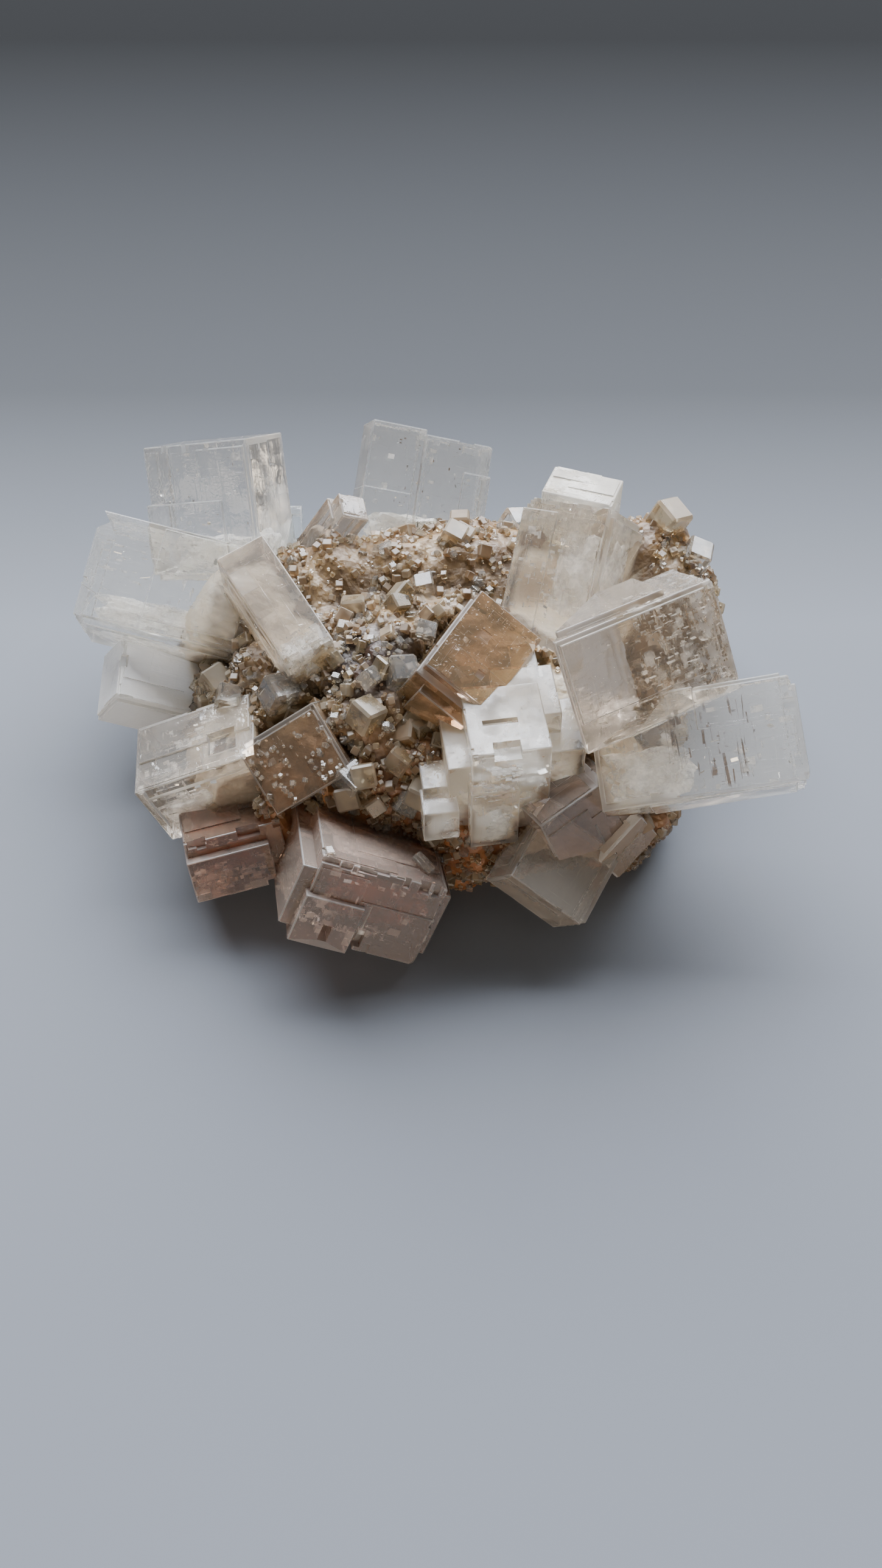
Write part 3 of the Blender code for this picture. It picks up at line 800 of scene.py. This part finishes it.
add_cracks("steps_layers", stair, 90, 28, (1, 2.6, 2.0), along=(0.45, 0.75), up=(-0.5, 0.2), thin=0)
add_cloud("steps_cloud", stair, ((-0.2, 0.45), (-0.49, 0.49), (-0.49, 0.3)), stuff=thin_milk)
add_cloud("steps_front_cloud", stair, ((-0.06, 0.34), (-0.52, 0.07), (-0.64, -0.4)))
add_cloud("steps_left_cloud", stair, ((0.1, 0.3), (-1.11, -0.7), (-0.62, -0.27)), stuff=thin_milk)


# ------------------------ right smoky
# A smoky beige block of rock salt that leans up to the right: three cuboids with slanting breaks
# at both ends, a ragged outer end, and hundreds of small cracks inside.

smoke = Block((12.2, -6.3, 22.1), 25, 3, -39, (17.7, 8.2, 12.3))
right_smoky = grow_crystal(
    "right_smoky", smoke,
    [((0.4, -0.4, 1.4), (16.2, 8, 8.6)), ((0.8, 0.6, 0.8), (12, 7.6, 12))],
    [
        ((17.6, -3.5, -6.2), (0, 24, 0), (4, 4.2, 4)),
        ((16.2, 0, -7.6), (0, -30, 0), (5, 9.4, 3)),
        ((18.4, 0.1, 7.2), (0, 40, 0), (3, 10, 3)),
        ((-3.2, -1.1, 0.2), (0, 0, 43), (14, 8, 15)),
    ],
    seed=31, ragged=18, pale=0.8,
)
beige = rock_salt("beige_rock_salt_right", smoke, "#FBF3E6", "#BE9E74", 40.0, 0.92, frost=(11.0, 15.0))
place_crystal(right_smoky, beige, "crystal_right_smoky")
add_cracks(
    "smoky_bubbles", smoke, 90, 33, 0.3, along=(0.05, 0.5), across=(-0.5, 0.2)
)
add_cracks("smoky_cracks", smoke, 420, 32, 1.3, along=(0.5, 1), across=(-0.5, 0.0))


# ------------------------ far right
# The long clear block of rock salt that reaches furthest to the right: slabs of unequal width, with
# clay in the cleavage under its top and a cloud near its foot.

long_right = Block((16.9, -10.5, 14.8), 2, 14, 25, (20.4, 10.8, 7.9))
far_right = grow_crystal(
    "far_right", long_right,
    [
        ((0.4, 0.6, 0.3), (10.4, 10.5, 7.6)),
        ((4.7, 0.2, -0.6), (14.9, 11.5, 7)),
        ((2, 0.1, -0.8), (19, 9.2, 6.1)),
    ],
    [((20.6, 5.4, 0), (0, 0, 30), (3, 3, 9)), ((20.8, -5.2, 4), (0, 0, -40), (2.4, 2.4, 3))],
    seed=37, ragged=12,
)
clear_far = rock_salt(
    "clear_rock_salt_far_right", long_right, "#FFFCF5", "#D8C6A6", 14.0, 0.92, frost=(18.0, 20.0)
)
place_crystal(far_right, clear_far, "crystal_far_right")
add_cloud("far_right_cloud", long_right, ((0.0, 0.5), (-0.48, 0.1), (-0.48, 0.3)))
add_cracks(
    "far_right_stains", long_right, 60, 39, (0.5, 4.0, 2.6),
    along=(0.36, 0.8), across=(-0.45, 0.3), up=(0.2, 0.5), films=(clay_film,),
)
add_cracks("far_right_cracks", long_right, 110, 38, 1.6, along=(0.0, 1), up=(0.0, 0.5))


# ------------------------ right columns
# The tall column at the upper right, three cuboids of creamy clear rock salt, and the cream block
# that stands close behind it, a single cuboid with a cloud in its outer half.

column_right = Block((12.5, 2.9, 15.4), 75, 34, -19, (16.3, 9.5, 9.3))
behind_right = Block((15.3, 15.1, 9.1), 82, 76, -11, (16.6, 7.8, 5.3))
right_column = grow_crystal(
    "right_column", column_right,
    [((0.4, 2.9, 0.4), (14.7, 4.2, 9)), ((0.8, -1, -0.6), (14.7, 8.4, 8.7))],
    [((16.5, -4.6, 4.6), (0, 0, 32), (4, 4, 5))],
    seed=41, ragged=6,
)
creamy = rock_salt("creamy_rock_salt_column", column_right, "#FFFAF2", "#CDB48C", 22.0, 0.91)
place_crystal(right_column, creamy, "crystal_right_columns")
right_behind = grow_crystal("right_column_behind", behind_right, seed=43)
creamy_behind = rock_salt(
    "creamy_rock_salt_behind", behind_right, "#FAF3E4", "#DCC8A0", 18.0, 0.86, (0.1, 0.6)
)
place_crystal(right_behind, creamy_behind, "crystal_right_columns")
add_cloud("right_behind_cloud", behind_right, ((0.5, 0.98), (-0.48, 0.48), (-0.48, 0.48)))
add_cloud("right_column_cloud", column_right, ((0.1, 0.9), (-0.45, 0.2), (-0.48, 0.1)))
add_cracks(
    "right_column_cracks", column_right, 150, 42, 1.0, along=(0.2, 1), across=(-0.1, 0.5), up=(0.0, 0.5)
)


# ------------------------ centre cube
# A brown-orange cube of rock salt with its corner uppermost in the middle of the mound. Parallel
# cuboids give it a ledge, and fine needles and scratches lie inside its outer end.

centre = Block((1.9, -1.1, 16.8), -31, 65, 0, (8.3, 11.2, 8.1))
centre_cube = grow_crystal(
    "centre_cube", centre,
    [((0.4, -0.9, 0.4), (7, 11, 7.9)), ((0.8, -1.7, -0.1), (5.6, 11.4, 6))],
    [((8.18, 1.4, 1), (0.5, 1.3, 1.3)), ((8.18, -2.6, -1), (0.5, 0.9, 0.9))],
    plates=4, seed=47, pale=0.2,
)
amber = rock_salt("amber_rock_salt_centre", centre, "#E6CBA2", "#A87038", 170.0, 0.92)
place_crystal(centre_cube, amber, "crystal_centre_cube")
add_cracks("centre_cracks", centre, 70, 48, 0.7, along=(0.3, 1))
add_cracks(
    "centre_needles", centre, 50, 49, (0.05, 0.05, 2.6),
    along=(0.7, 1), thin=1,
)
add_cracks(
    "centre_scratches", centre, 24, 46, (0.05, 1.6, 0.05),
    along=(0.8, 1), thin=2,
)


# ------------------------ lower right
# A smoky block of rock salt low at the front right, two cuboids of nearly one size. It looks dark
# because the clay behind it shows through; its narrow sides are bright.

low_right = Block((14.2, -14.8, 8.4), -119, -10, -33, (8.8, 9.4, 6.1))
lower_right = grow_crystal(
    "lower_right", low_right,
    [((0.4, 0.5, -0.4), (7.8, 9.6, 6))],
    seed=53, pale=0.5,
)
dark = rock_salt("dark_rock_salt_lower_right", low_right, "#F6EEE2", "#9C7E60", 50.0, 0.84)
place_crystal(lower_right, dark, "crystal_lower_right")


# ------------------------ right shadowed
# The dark mauve-brown block of rock salt above the lower right one, and the brown lump grown on
# beside it, which is duller and full of clay. Each is two cuboids.

shaded = Block((10.4, -8.6, 9), -60, 20, 12, (10.4, 8.2, 8.4))
lump = Block((14.4, -9, 6.8), -50, 4, 25, (9.4, 6.4, 6.6))
right_shaded = grow_crystal(
    "right_shaded", shaded,
    [((0.4, 0.7, -0.6), (9.8, 8.8, 8))],
    seed=59, pale=0.3,
)
mauve_brown = rock_salt("mauve_brown_rock_salt", shaded, "#EEDFD2", "#8E6448", 100.0, 0.88)
place_crystal(right_shaded, mauve_brown, "crystal_right_shadowed")
right_lump = grow_crystal("right_lump", lump, [((0.8, 0.8, 0.8), (7.2, 6.2, 6.4))], seed=61, pale=0.2)
clay_lump = rock_salt("clay_rock_salt_lump", lump, "#C9B196", "#7C5A3C", 200.0, 0.6, (0.2, 0.5))
place_crystal(right_lump, clay_lump, "crystal_right_shadowed")


# ------------------------ back pair
# Two clear blocks of rock salt side by side at the back: four cuboids grown parallel and joined
# into one piece, with a cloud at the root, clay specks and small cracks.

middle = Block((-3.3, 18.4, 12.7), 79, 36, 21, (14.6, 14, 6.4))
left_of_middle = beside(middle, (0, -3, 0), (14.6, 7.8, 6.4))
back_pair = grow_crystal(
    "back_pair", left_of_middle,
    [
        ((0.4, 6.8, -0.7), (14.9, 6.3, 5.6)),
        ((0.8, -2.5, 0.4), (10.4, 3.2, 6.3)),
        ((1.2, 7.4, 0.25), (6.6, 5.5, 5.7)),
    ],
    seed=67, ragged=4,
)
clear_middle = rock_salt("clear_rock_salt_back", middle, "#FFFCF6", "#DACDB0", 16.0, 0.94)
place_crystal(back_pair, clear_middle, "crystal_back_pair")
add_cloud("back_pair_cloud", middle, ((0.02, 0.4), (-0.48, 0.48), (-0.45, 0.45)))
add_cracks(
    "back_pair_specks", middle, 60, 69, 0.35,
    along=(0.2, 0.95), across=(-0.35, 0.3), up=(0.3, 0.5), films=(clay_film,),
)
add_cracks("back_pair_cracks", middle, 110, 68, 0.8, along=(0.05, 1))


# ------------------------ small back crystals
# A slim crystal of brown rock salt that leans to the right, and a small pale block beside it, both
# at the back of the mound and almost plain cuboids.

slim = Block((-14.4, 17.6, 14), 3, 60, 10, (10.6, 3.2, 3.2))
back_small = grow_crystal(
    "back_small", slim,
    [((0.4, 0.8, 0.4), (8.4, 3, 3))],
    [((10.6, 1.6, 0), (0, 0, 40), (3, 3, 6))],
    plates=2, seed=71, pale=0.5,
)
slim_brown = rock_salt("brown_rock_salt_slim", slim, "#EFE6DA", "#A58660", 120.0, 0.92)
place_crystal(back_small, slim_brown, "crystal_back_small")

pale = Block((-16.5, 15.5, 13.4), 92, 12, 0, (8.8, 2.6, 3.6))
back_left_small = grow_crystal("back_left_small", pale, plates=2, seed=73)
pale_blue = rock_salt("pale_rock_salt_small", pale, "#F4F8F8", "#C4CCCA", 50.0, 0.9)
place_crystal(back_left_small, pale_blue, "crystal_back_left_small")


# ------------------------ matrix
# The mound that everything grows from: salt grains set in brown clay, a rough skin over a flat
# base. Its skin runs on under the crystals, so it shows through them.

MOUND_CENTRE = (0, 1, 6)
MOUND_RADII = (27, 18.5, 15.6)
MOUND_LUMPS = [
    # centre, radii
    ((-20, 10, 7), (9, 8.5, 12.5)),
    ((-17, -7, 7), (9, 9, 8.5)),
    ((23, 15, 8), (9, 9.5, 13.5)),
    ((17, -8, 6), (9, 8, 9)),
    ((2, 13, 9), (20, 9.5, 13)),
    ((-11, 13, 9), (9, 9, 12)),
    ((2, -10, 5), (11, 8, 8.5)),
]


def reach_of_ellipsoid(origin, heading, centre, radii):
    """How far along a ray from the origin an ellipsoid ends; nothing where the ray misses it."""
    start = Vector([(origin[i] - centre[i]) / radii[i] for i in range(3)])
    step = Vector([heading[i] / radii[i] for i in range(3)])
    a = step.dot(step)
    b = 2 * start.dot(step)
    root = b * b - 4 * a * (start.dot(start) - 1)
    if root < 0:
        return 0.0
    return max(0.0, (-b + math.sqrt(root)) / (2 * a))


def mound_reach(heading):
    """Distance from the mound's centre to its skin, before the fine grain."""
    reach = reach_of_ellipsoid(MOUND_CENTRE, heading, MOUND_CENTRE, MOUND_RADII)
    for centre, radii in MOUND_LUMPS:
        reach = max(reach, reach_of_ellipsoid(MOUND_CENTRE, heading, centre, radii))
    x, y, z = heading
    slow = math.sin(7 * x + 2 * y + 1) * math.cos(6 * y - 3 * z)
    quick = math.sin(15 * z + 17 * x) * math.cos(19 * y + 2)
    return reach + 0.6 * (slow + quick)


def depths_inside(places, blocks=grown_before):
    """How deep places lie in the large crystals, and how cream the skin turns there:
    pale salt at the root, and partly painted light.
    """
    places = numpy.array(places)
    deepest, pale = numpy.zeros(len(places)), numpy.zeros(len(places))
    for block, root in zip(blocks, root_cream_share_and_painted_light):
        inverse = numpy.array(block_frame(block).inverted())
        x, y, z = inverse[:3, :3] @ places.T + inverse[:3, 3:]
        sides = [x, block.size[0] - x, block.size[1] / 2 - abs(y), block.size[2] / 2 - abs(z)]
        depth = numpy.minimum.reduce(sides)
        closer = depth > deepest
        deepest[closer] = depth[closer]
        pale[closer] = root
    return deepest, pale


skin = bmesh.new()
bmesh.ops.create_icosphere(skin, subdivisions=7, radius=1)
for vert in skin.verts:
    outward = vert.co.normalized()
    vert.co = Vector(MOUND_CENTRE) + outward * mound_reach(outward)
on_axes = {"use_axis_x": True, "use_axis_y": True, "use_axis_z": True}
bmesh.ops.smooth_vert(skin, verts=skin.verts, factor=0.5, **on_axes)
skin.normal_update()
# The skin drops wherever it would lie as a thin cover over a crystal, and 0.3 mm further.
hidden = depths_inside([vert.co for vert in skin.verts])[0] > 0
lowered = numpy.zeros(len(skin.verts))
for below in (2.8, 2.4, 2.0, 1.6, 1.2, 0.8, 0.4):
    under = depths_inside([vert.co - vert.normal * below for vert in skin.verts])[0] > 0
    lowered[under & ~hidden] = below + 0.3
for vert, drop in zip(skin.verts, lowered):
    vert.co = vert.co - vert.normal * drop
# It drops straight down behind the front block, whose top face shows as far back as it goes.
for _ in range(12):
    over = depths_inside([vert.co - Vector((0, 0, 1.2)) for vert in skin.verts], [front])[0] > 0
    inside = depths_inside([vert.co for vert in skin.verts], [front])[0] > 0
    over_far = depths_inside([vert.co - Vector((0, 0, 3.2)) for vert in skin.verts], [front])[0] > 0
    for vert, near, far, within in zip(skin.verts, over, over_far, inside):
        if (near or far) and not within:
            vert.co.z -= 0.5
bmesh.ops.smooth_vert(skin, verts=skin.verts, factor=0.4, **on_axes)
skin.normal_update()
mound_skin = BVHTree.FromBMesh(skin)
# Under a crystal the skin turns cream: partly pale salt at the root, partly painted light for the light the
# glass keeps out.
covered = skin.verts.layers.float.new("covered")
depths, pales = depths_inside([vert.co for vert in skin.verts])
for vert, deep, pale in zip(skin.verts, depths, pales):
    place = vert.co.copy()
    lumps = noise.noise(place * 0.45) * 0.4
    cell = noise.cell(place * 0.7 + Vector((noise.noise(place), 0, 0))) * 0.12
    grain = noise.noise(place * 1.8 + Vector((9, 4, 2))) * 0.2
    vert.co = place + vert.normal * (lumps + cell + grain - 0.1)
    vert[covered] = min(1.0, deep / 0.6) * pale
bmesh.ops.smooth_vert(skin, verts=skin.verts, factor=0.5, **on_axes)
everything = list(skin.verts) + list(skin.edges) + list(skin.faces)
base = {"plane_co": (0, 0, 0), "plane_no": (0, 0, -1)}
cut = bmesh.ops.bisect_plane(skin, geom=everything, clear_outer=True, **base)
rim = [item for item in cut["geom_cut"] if isinstance(item, bmesh.types.BMEdge)]
bmesh.ops.edgenet_fill(skin, edges=rim)
bmesh.ops.triangulate(skin, faces=skin.faces)
bmesh.ops.recalc_face_normals(skin, faces=skin.faces)
matrix = to_piece(skin, "clay_and_salt_mound")

# Clay-stained rock salt: grey-brown over most of the top, golden at the back, red-brown low down
# at the front, darker in the middle hollow by a painted shade, and cream where a clear crystal is
# rooted, partly for the pale salt there and partly as painted light for the light its glass keeps
# out. Half gloss on salt, dull on clay.
clay, tree = new_material("clay_stained_rock_salt")
where = add_node(tree, "TexCoord")
broad = add_node(tree, "TexNoise", {"Scale": 130.0, "Detail": 3.0}, {"Vector": (where, "Object")})
grain = add_node(tree, "TexNoise", {"Scale": 1100.0, "Detail": 4.0}, {"Vector": (where, "Object")})
mixed = add_node(tree, "Math", {"operation": "MULTIPLY_ADD", 1: 0.9, 2: -0.15}, {0: (broad, "Fac")})
mixed = add_node(
    tree,
    "Math",
    {"operation": "MULTIPLY_ADD", 1: 0.4, 2: 0.0},
    {0: (grain, "Fac"), 2: (mixed, 0)},
)
stain = add_node(
    tree,
    "ValToRGB",
    {
        "stops": [
            (0.3, "#594630"),
            (0.42, "#6F5A40"),
            (0.54, "#846D4E"),
            (0.66, "#97815D"),
            (0.78, "#AE9B74"),
        ]
    },
    {"Fac": (mixed, 0)},
)
axes = add_node(tree, "SeparateXYZ", {}, {"Vector": (where, "Object")})
to_back = add_node(tree, "MapRange", {1: 0.008, 2: 0.018}, {0: (axes, "Y")})
far_back = add_node(tree, "MapRange", {1: 0.02, 2: 0.028, 3: 1.0, 4: 0.45}, {0: (axes, "Y")})
to_back = add_node(tree, "Math", {"operation": "MULTIPLY"}, {0: (to_back, 0), 1: (far_back, 0)})
golden = add_node(
    tree,
    "Mix",
    {"data_type": "RGBA", "blend_type": "MULTIPLY", 7: linear("#C6B28E")},
    {0: (to_back, 0), 6: (stain, "Color")},
)
to_front = add_node(tree, "MapRange", {1: -0.006, 2: -0.016}, {0: (axes, "Y")})
reddish = add_node(
    tree,
    "Mix",
    {"data_type": "RGBA", "blend_type": "MULTIPLY", 7: linear("#FFC6A0")},
    {0: (to_front, 0), 6: (golden, 2)},
)
# Painted shade: the skin turns darker within a few millimetres of the middle hollow, where shade falls.
from_hollow = add_node(
    tree,
    "VectorMath",
    {"operation": "DISTANCE", 1: (-0.0075, -0.002, 0.02)},
    {0: (where, "Object")},
)
hollow = add_node(tree, "MapRange", {1: 0.003, 2: 0.0075, 3: 1.0, 4: 0.0}, {0: (from_hollow, "Value")})
shadowed = add_node(
    tree,
    "Mix",
    {"data_type": "RGBA", "blend_type": "MULTIPLY", 7: linear("#6A5240")},
    {0: (hollow, 0), 6: (reddish, 2)},
)
# Cream under the crystals: partly pale salt at their roots, partly painted light for the light their glass
# keeps out.
root = add_node(tree, "Attribute", {"attribute_name": "covered"})
cream = add_node(
    tree,
    "ValToRGB",
    {"stops": [(0.32, "#C4B196"), (0.48, "#E4D8C2"), (0.62, "#FAF4E8")]},
    {"Fac": (broad, "Fac")},
)
skin_colour = add_node(
    tree,
    "Mix",
    {"data_type": "RGBA"},
    {0: (root, "Fac"), 6: (shadowed, 2), 7: (cream, "Color")},
)
gloss = add_node(tree, "MapRange", {1: 0.35, 2: 0.7, 3: 0.65, 4: 0.3}, {0: (grain, "Fac")})
facets = add_node(
    tree,
    "TexVoronoi",
    {"Scale": 1600.0, "distance": "CHEBYCHEV", "feature": "F1"},
    {"Vector": (where, "Object")},
)
relief = add_node(tree, "Bump", {"Strength": 0.5, "Distance": 0.0002}, {"Height": (facets, "Distance")})
shader = add_node(
    tree,
    "BsdfPrincipled",
    {
        "IOR": 1.544,
        "Subsurface Weight": 0.4,
        "Subsurface Radius": (1.0, 0.85, 0.6),
        "Subsurface Scale": 0.0012,
    },
    {"Base Color": (skin_colour, 2), "Roughness": (gloss, 0), "Normal": (relief, "Normal")},
)
add_node(tree, "OutputMaterial", {}, {"Surface": (shader, "BSDF")})
matrix.data.materials.append(clay)
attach(matrix, "root")
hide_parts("matrix")


# ------------------------ druse
# The sugary crust: small cubes of salt grown on the mound in every direction, from half a
# millimetre to three, some clear, most stained honey-brown and many caked with clay.

template = bmesh.new()
bmesh.ops.create_cube(template, size=1)
rounding = {"offset_type": "OFFSET", "segments": 1, "profile": 0.5, "material": -1}
edges = list(template.edges)
bmesh.ops.bevel(template, geom=edges, offset=0.09, affect="EDGES", clamp_overlap=True, **rounding)
worn = template.faces.layers.float.new("worn")
for face in template.faces:
    face[worn] = 0.0 if face.calc_area() > 0.3 else 1.0
tiny_cube = bpy.data.meshes.new("tiny_cube")
template.to_mesh(tiny_cube)
template.free()


def add_cube(shape, place, turn, size):
    """Put one small cube into the crust's mesh."""
    known = len(shape.verts)
    shape.from_mesh(tiny_cube)
    shape.verts.ensure_lookup_table()
    move = Matrix.LocRotScale(place, turn, Vector(size))
    bmesh.ops.transform(shape, matrix=move, verts=shape.verts[known:])


def add_cubes(shape, cubes):
    """Put many small cubes into the crust's mesh, in batches, which is quicker."""
    for start in range(0, len(cubes), 150):
        batch = bmesh.new()
        for place, turn, size in cubes[start : start + 150]:
            add_cube(batch, place, turn, size)
        batch_mesh = bpy.data.meshes.new("batch")
        batch.to_mesh(batch_mesh)
        batch.free()
        shape.from_mesh(batch_mesh)
        bpy.data.meshes.remove(batch_mesh)


def spot_on_skin(aim):
    """Where a direction from the mound's centre meets its skin, and which way that faces."""
    way = Vector([aim[i] * MOUND_RADII[i] for i in range(3)]).normalized()
    spot, normal, _, _ = mound_skin.ray_cast(Vector(MOUND_CENTRE) + way * 100, -way)
    return spot, normal


def druse(name, count, smallest, largest, seed, sunk=0.3, lowest=1.0):
    """Small cubes scattered over the mound, clear of the large crystals."""
    draw = random.Random(seed)
    cubes = []
    while len(cubes) < count:
        way = Vector((draw.gauss(0, 1), draw.gauss(0, 1), draw.gauss(0, 1)))
        edge = smallest + (largest - smallest) * draw.random() ** 2.2
        tilt = [draw.uniform(0, 360) for _ in range(3)]
        stretch = draw.uniform(0.85, 1.15)
        if way.z < -0.3 * way.length:
            continue
        spot, normal = spot_on_skin(way)
        if spot is None or spot.z < lowest:
            continue
        turn = Euler([math.radians(angle) for angle in tilt]).to_quaternion()
        cubes.append((spot + normal * edge * (0.5 - sunk), turn, (edge, edge, edge * stretch)))
    shape = bmesh.new()
    depths = depths_inside([place for place, _, _ in cubes])[0]
    add_cubes(shape, [cube for deep, cube in zip(depths, cubes) if deep < 0.1])
    return to_piece(shape, name)


def druse_salt(name, surface_low, surface_high, clear, rough):
    """Small salt crystals: glassy faces whose stain changes from cube to cube."""
    material, tree = new_material(name)
    where = add_node(tree, "TexCoord")
    patch = add_node(tree, "TexNoise", {"Scale": 420.0, "Detail": 2.0}, {"Vector": (where, "Object")})
    stain = add_node(
        tree,
        "ValToRGB",
        {"stops": [(0.36, surface_low), (0.64, surface_high)]},
        {"Fac": (patch, "Fac")},
    )
    haze = add_node(tree, "MapRange", {1: 0.35, 2: 0.7, 3: rough[0], 4: rough[1]}, {0: (patch, "Fac")})
    rim = add_node(tree, "Attribute", {"attribute_name": "worn"})
    rim = add_node(tree, "Math", {"operation": "MULTIPLY", 1: 0.35}, {0: (rim, "Fac")})
    haze = add_node(tree, "Mix", {"data_type": "FLOAT", 3: 0.5}, {0: (rim, 0), 2: (haze, 0)})
    edged = add_node(
        tree,
        "Mix",
        {"data_type": "RGBA", 7: linear("#FFF6E4")},
        {0: (rim, 0), 6: (stain, "Color")},
    )
    shader = add_node(
        tree,
        "BsdfPrincipled",
        {"IOR": 1.544, "Transmission Weight": clear},
        {"Base Color": (edged, 2), "Roughness": (haze, 0)},
    )
    add_node(tree, "OutputMaterial", {}, {"Surface": (shader, "BSDF")})
    return material


def place_druse(piece, material):
    """The crust goes with the mound."""
    piece.data.materials.append(material)
    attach(piece, "root")
    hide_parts("matrix")


honey_salt = druse_salt("honey_druse_salt", "#D6BE94", "#F2E2C4", 0.88, (0.2, 0.45))
clear_salt = druse_salt("clear_druse_salt", "#F4EEE2", "#FFFDF8", 0.93, (0.03, 0.18))
brown_salt = druse_salt("clay_stained_druse_salt", "#A8865E", "#DABF98", 0.82, (0.3, 0.55))
place_druse(druse("druse_honey", 3900, 0.25, 0.8, 101, sunk=0.4), honey_salt)
place_druse(druse("druse_clear", 2600, 0.22, 0.9, 102, sunk=0.35), clear_salt)
place_druse(druse("druse_brown", 3300, 0.25, 0.9, 103, sunk=0.4), brown_salt)

# The larger cubes that stand out of the crust: place seen from above, edge, and turn in degrees.
LARGER_CUBES = [
    ((-4.4, -11.3), 2.5, (20, 30, 40)),
    ((-17.2, -3.4), 3.4, (10, 22, 20)),
    ((-15.2, -4.6), 2.4, (30, 24, 50)),
    ((-7.5, -4.1), 1.9, (15, 40, 35)),
    ((-7.8, -7.8), 3, (35, 25, 10)),
    ((-1.5, 1.9), 2.1, (20, 15, 60)),
    ((-4.7, 5.8), 2, (5, 30, 25)),
    ((-4.2, -2.8), 3, (4, 20, 8)),
    ((-2.1, -14.2), 2.6, (25, 18, 45)),
    ((-9.2, -12.6), 3, (30, 20, 15)),
    ((-24.4, 1.6), 2.8, (10, 15, 30)),
    ((-22.8, -1.6), 2.6, (20, 20, 65)),
    ((24.9, 17.6), 3.4, (15, 24, 20)),
    ((28.2, 14.6), 2.8, (25, 20, 50)),
    ((1.5, 14.6), 2.4, (30, 18, 35)),
    ((8.2, 20.4), 2.6, (10, 25, 15)),
    ((1.7, -5.1), 2.2, (25, 30, 5)),
]


def lean_off_level(turn, degrees):
    """Lean a cube towards the front when one of its faces lies nearly level."""
    if max(abs(share) for share in turn[2]) <= 0.93:
        return turn
    return Matrix.Rotation(math.radians(degrees), 3, "X") @ turn


standing = [bmesh.new(), bmesh.new(), bmesh.new()]
for place_in_list, ((x, y), edge, turn) in enumerate(LARGER_CUBES):
    spot, _, _, _ = mound_skin.ray_cast(Vector((x, y, 100)), Vector((0, 0, -1)))
    cube = Block((0, 0, 0), turn[0], 90 - turn[1], turn[2], (edge, edge, edge))
    way = block_frame(cube).to_3x3()
    # Three in four of the level ones lean out of the window's mirror image.
    if place_in_list % 4:
        way = lean_off_level(way, 14)
    centre_of_cube = spot - Vector((0, 0, edge * 0.25)) + way @ Vector((edge / 2, 0, 0))
    add_cube(standing[place_in_list % 2], centre_of_cube, way.to_quaternion(), (edge,) * 3)

# The middling cubes of the crust, as many and as large as on the solid below them.
draw = random.Random(17)
middling_count = 215
placed = 0
while placed < middling_count:
    aim = Vector((draw.uniform(-1, 1), draw.uniform(-1, 1), draw.uniform(-0.2, 1)))
    edge = 1.3 + 1.3 * draw.random() ** 2
    tilt = [draw.uniform(-35, 35), draw.uniform(-35, 35), draw.uniform(0, 90)]
    if aim.length > 1:
        continue
    spot, normal = spot_on_skin(aim)
    if spot is None or spot.z < 3.6:
        continue
    placed += 1
    bearing = math.degrees(math.atan2(normal.y, normal.x)) + tilt[0]
    lift = math.degrees(math.asin(max(-1, min(1, normal.z)))) + tilt[1]
    cube = block_frame(Block((0, 0, 0), bearing, lift, tilt[2], (edge, edge, edge))).to_3x3()
    # Four in five of the level ones do so too.
    if placed % 5:
        cube = lean_off_level(cube, 26)
    centre_of_cube = spot - normal * edge * 0.7 + cube @ Vector((edge * 0.625, 0, 0))
    if depths_inside([centre_of_cube])[0][0] > 0.4:
        continue
    stained = 1 if placed % 7 == 0 else 2 * (placed % 2)
    add_cube(standing[stained], centre_of_cube, cube.to_quaternion(), (edge * 1.25, edge, edge))

# Loose chips that lie on the front block, and tiny cubes grown on the brown inner cube.
for shift, turn, size in (
    ((3.7, 0.6, 4.7), (14, -10, 30), (2.1, 1.8, 0.9)),
    ((9.4, 4.3, 4.7), (-12, 14, 55), (2.4, 1.5, 0.8)),
    ((11.4, -6.2, 4.3), (10, 12, 20), (1.0, 0.8, 0.5)),
):
    way = block_frame(turned(front, shift, turn, size))
    add_cube(standing[1], way.translation, way.to_quaternion(), size)
on_inner = []
for _ in range(70):
    place = block_frame(inner) @ Vector((9.5, draw.uniform(-4.4, 4.4), draw.uniform(-3.7, 3.7)))
    edge = draw.uniform(0.2, 0.6)
    turn = Euler([math.radians(draw.uniform(0, 90)) for _ in range(3)]).to_quaternion()
    on_inner.append((place, turn, (edge, edge, edge)))
add_cubes(standing[1], on_inner)
place_druse(to_piece(standing[0], "crust_cubes_honey"), honey_salt)
place_druse(to_piece(standing[1], "crust_cubes_clear"), clear_salt)
place_druse(to_piece(standing[2], "crust_cubes_brown"), brown_salt)
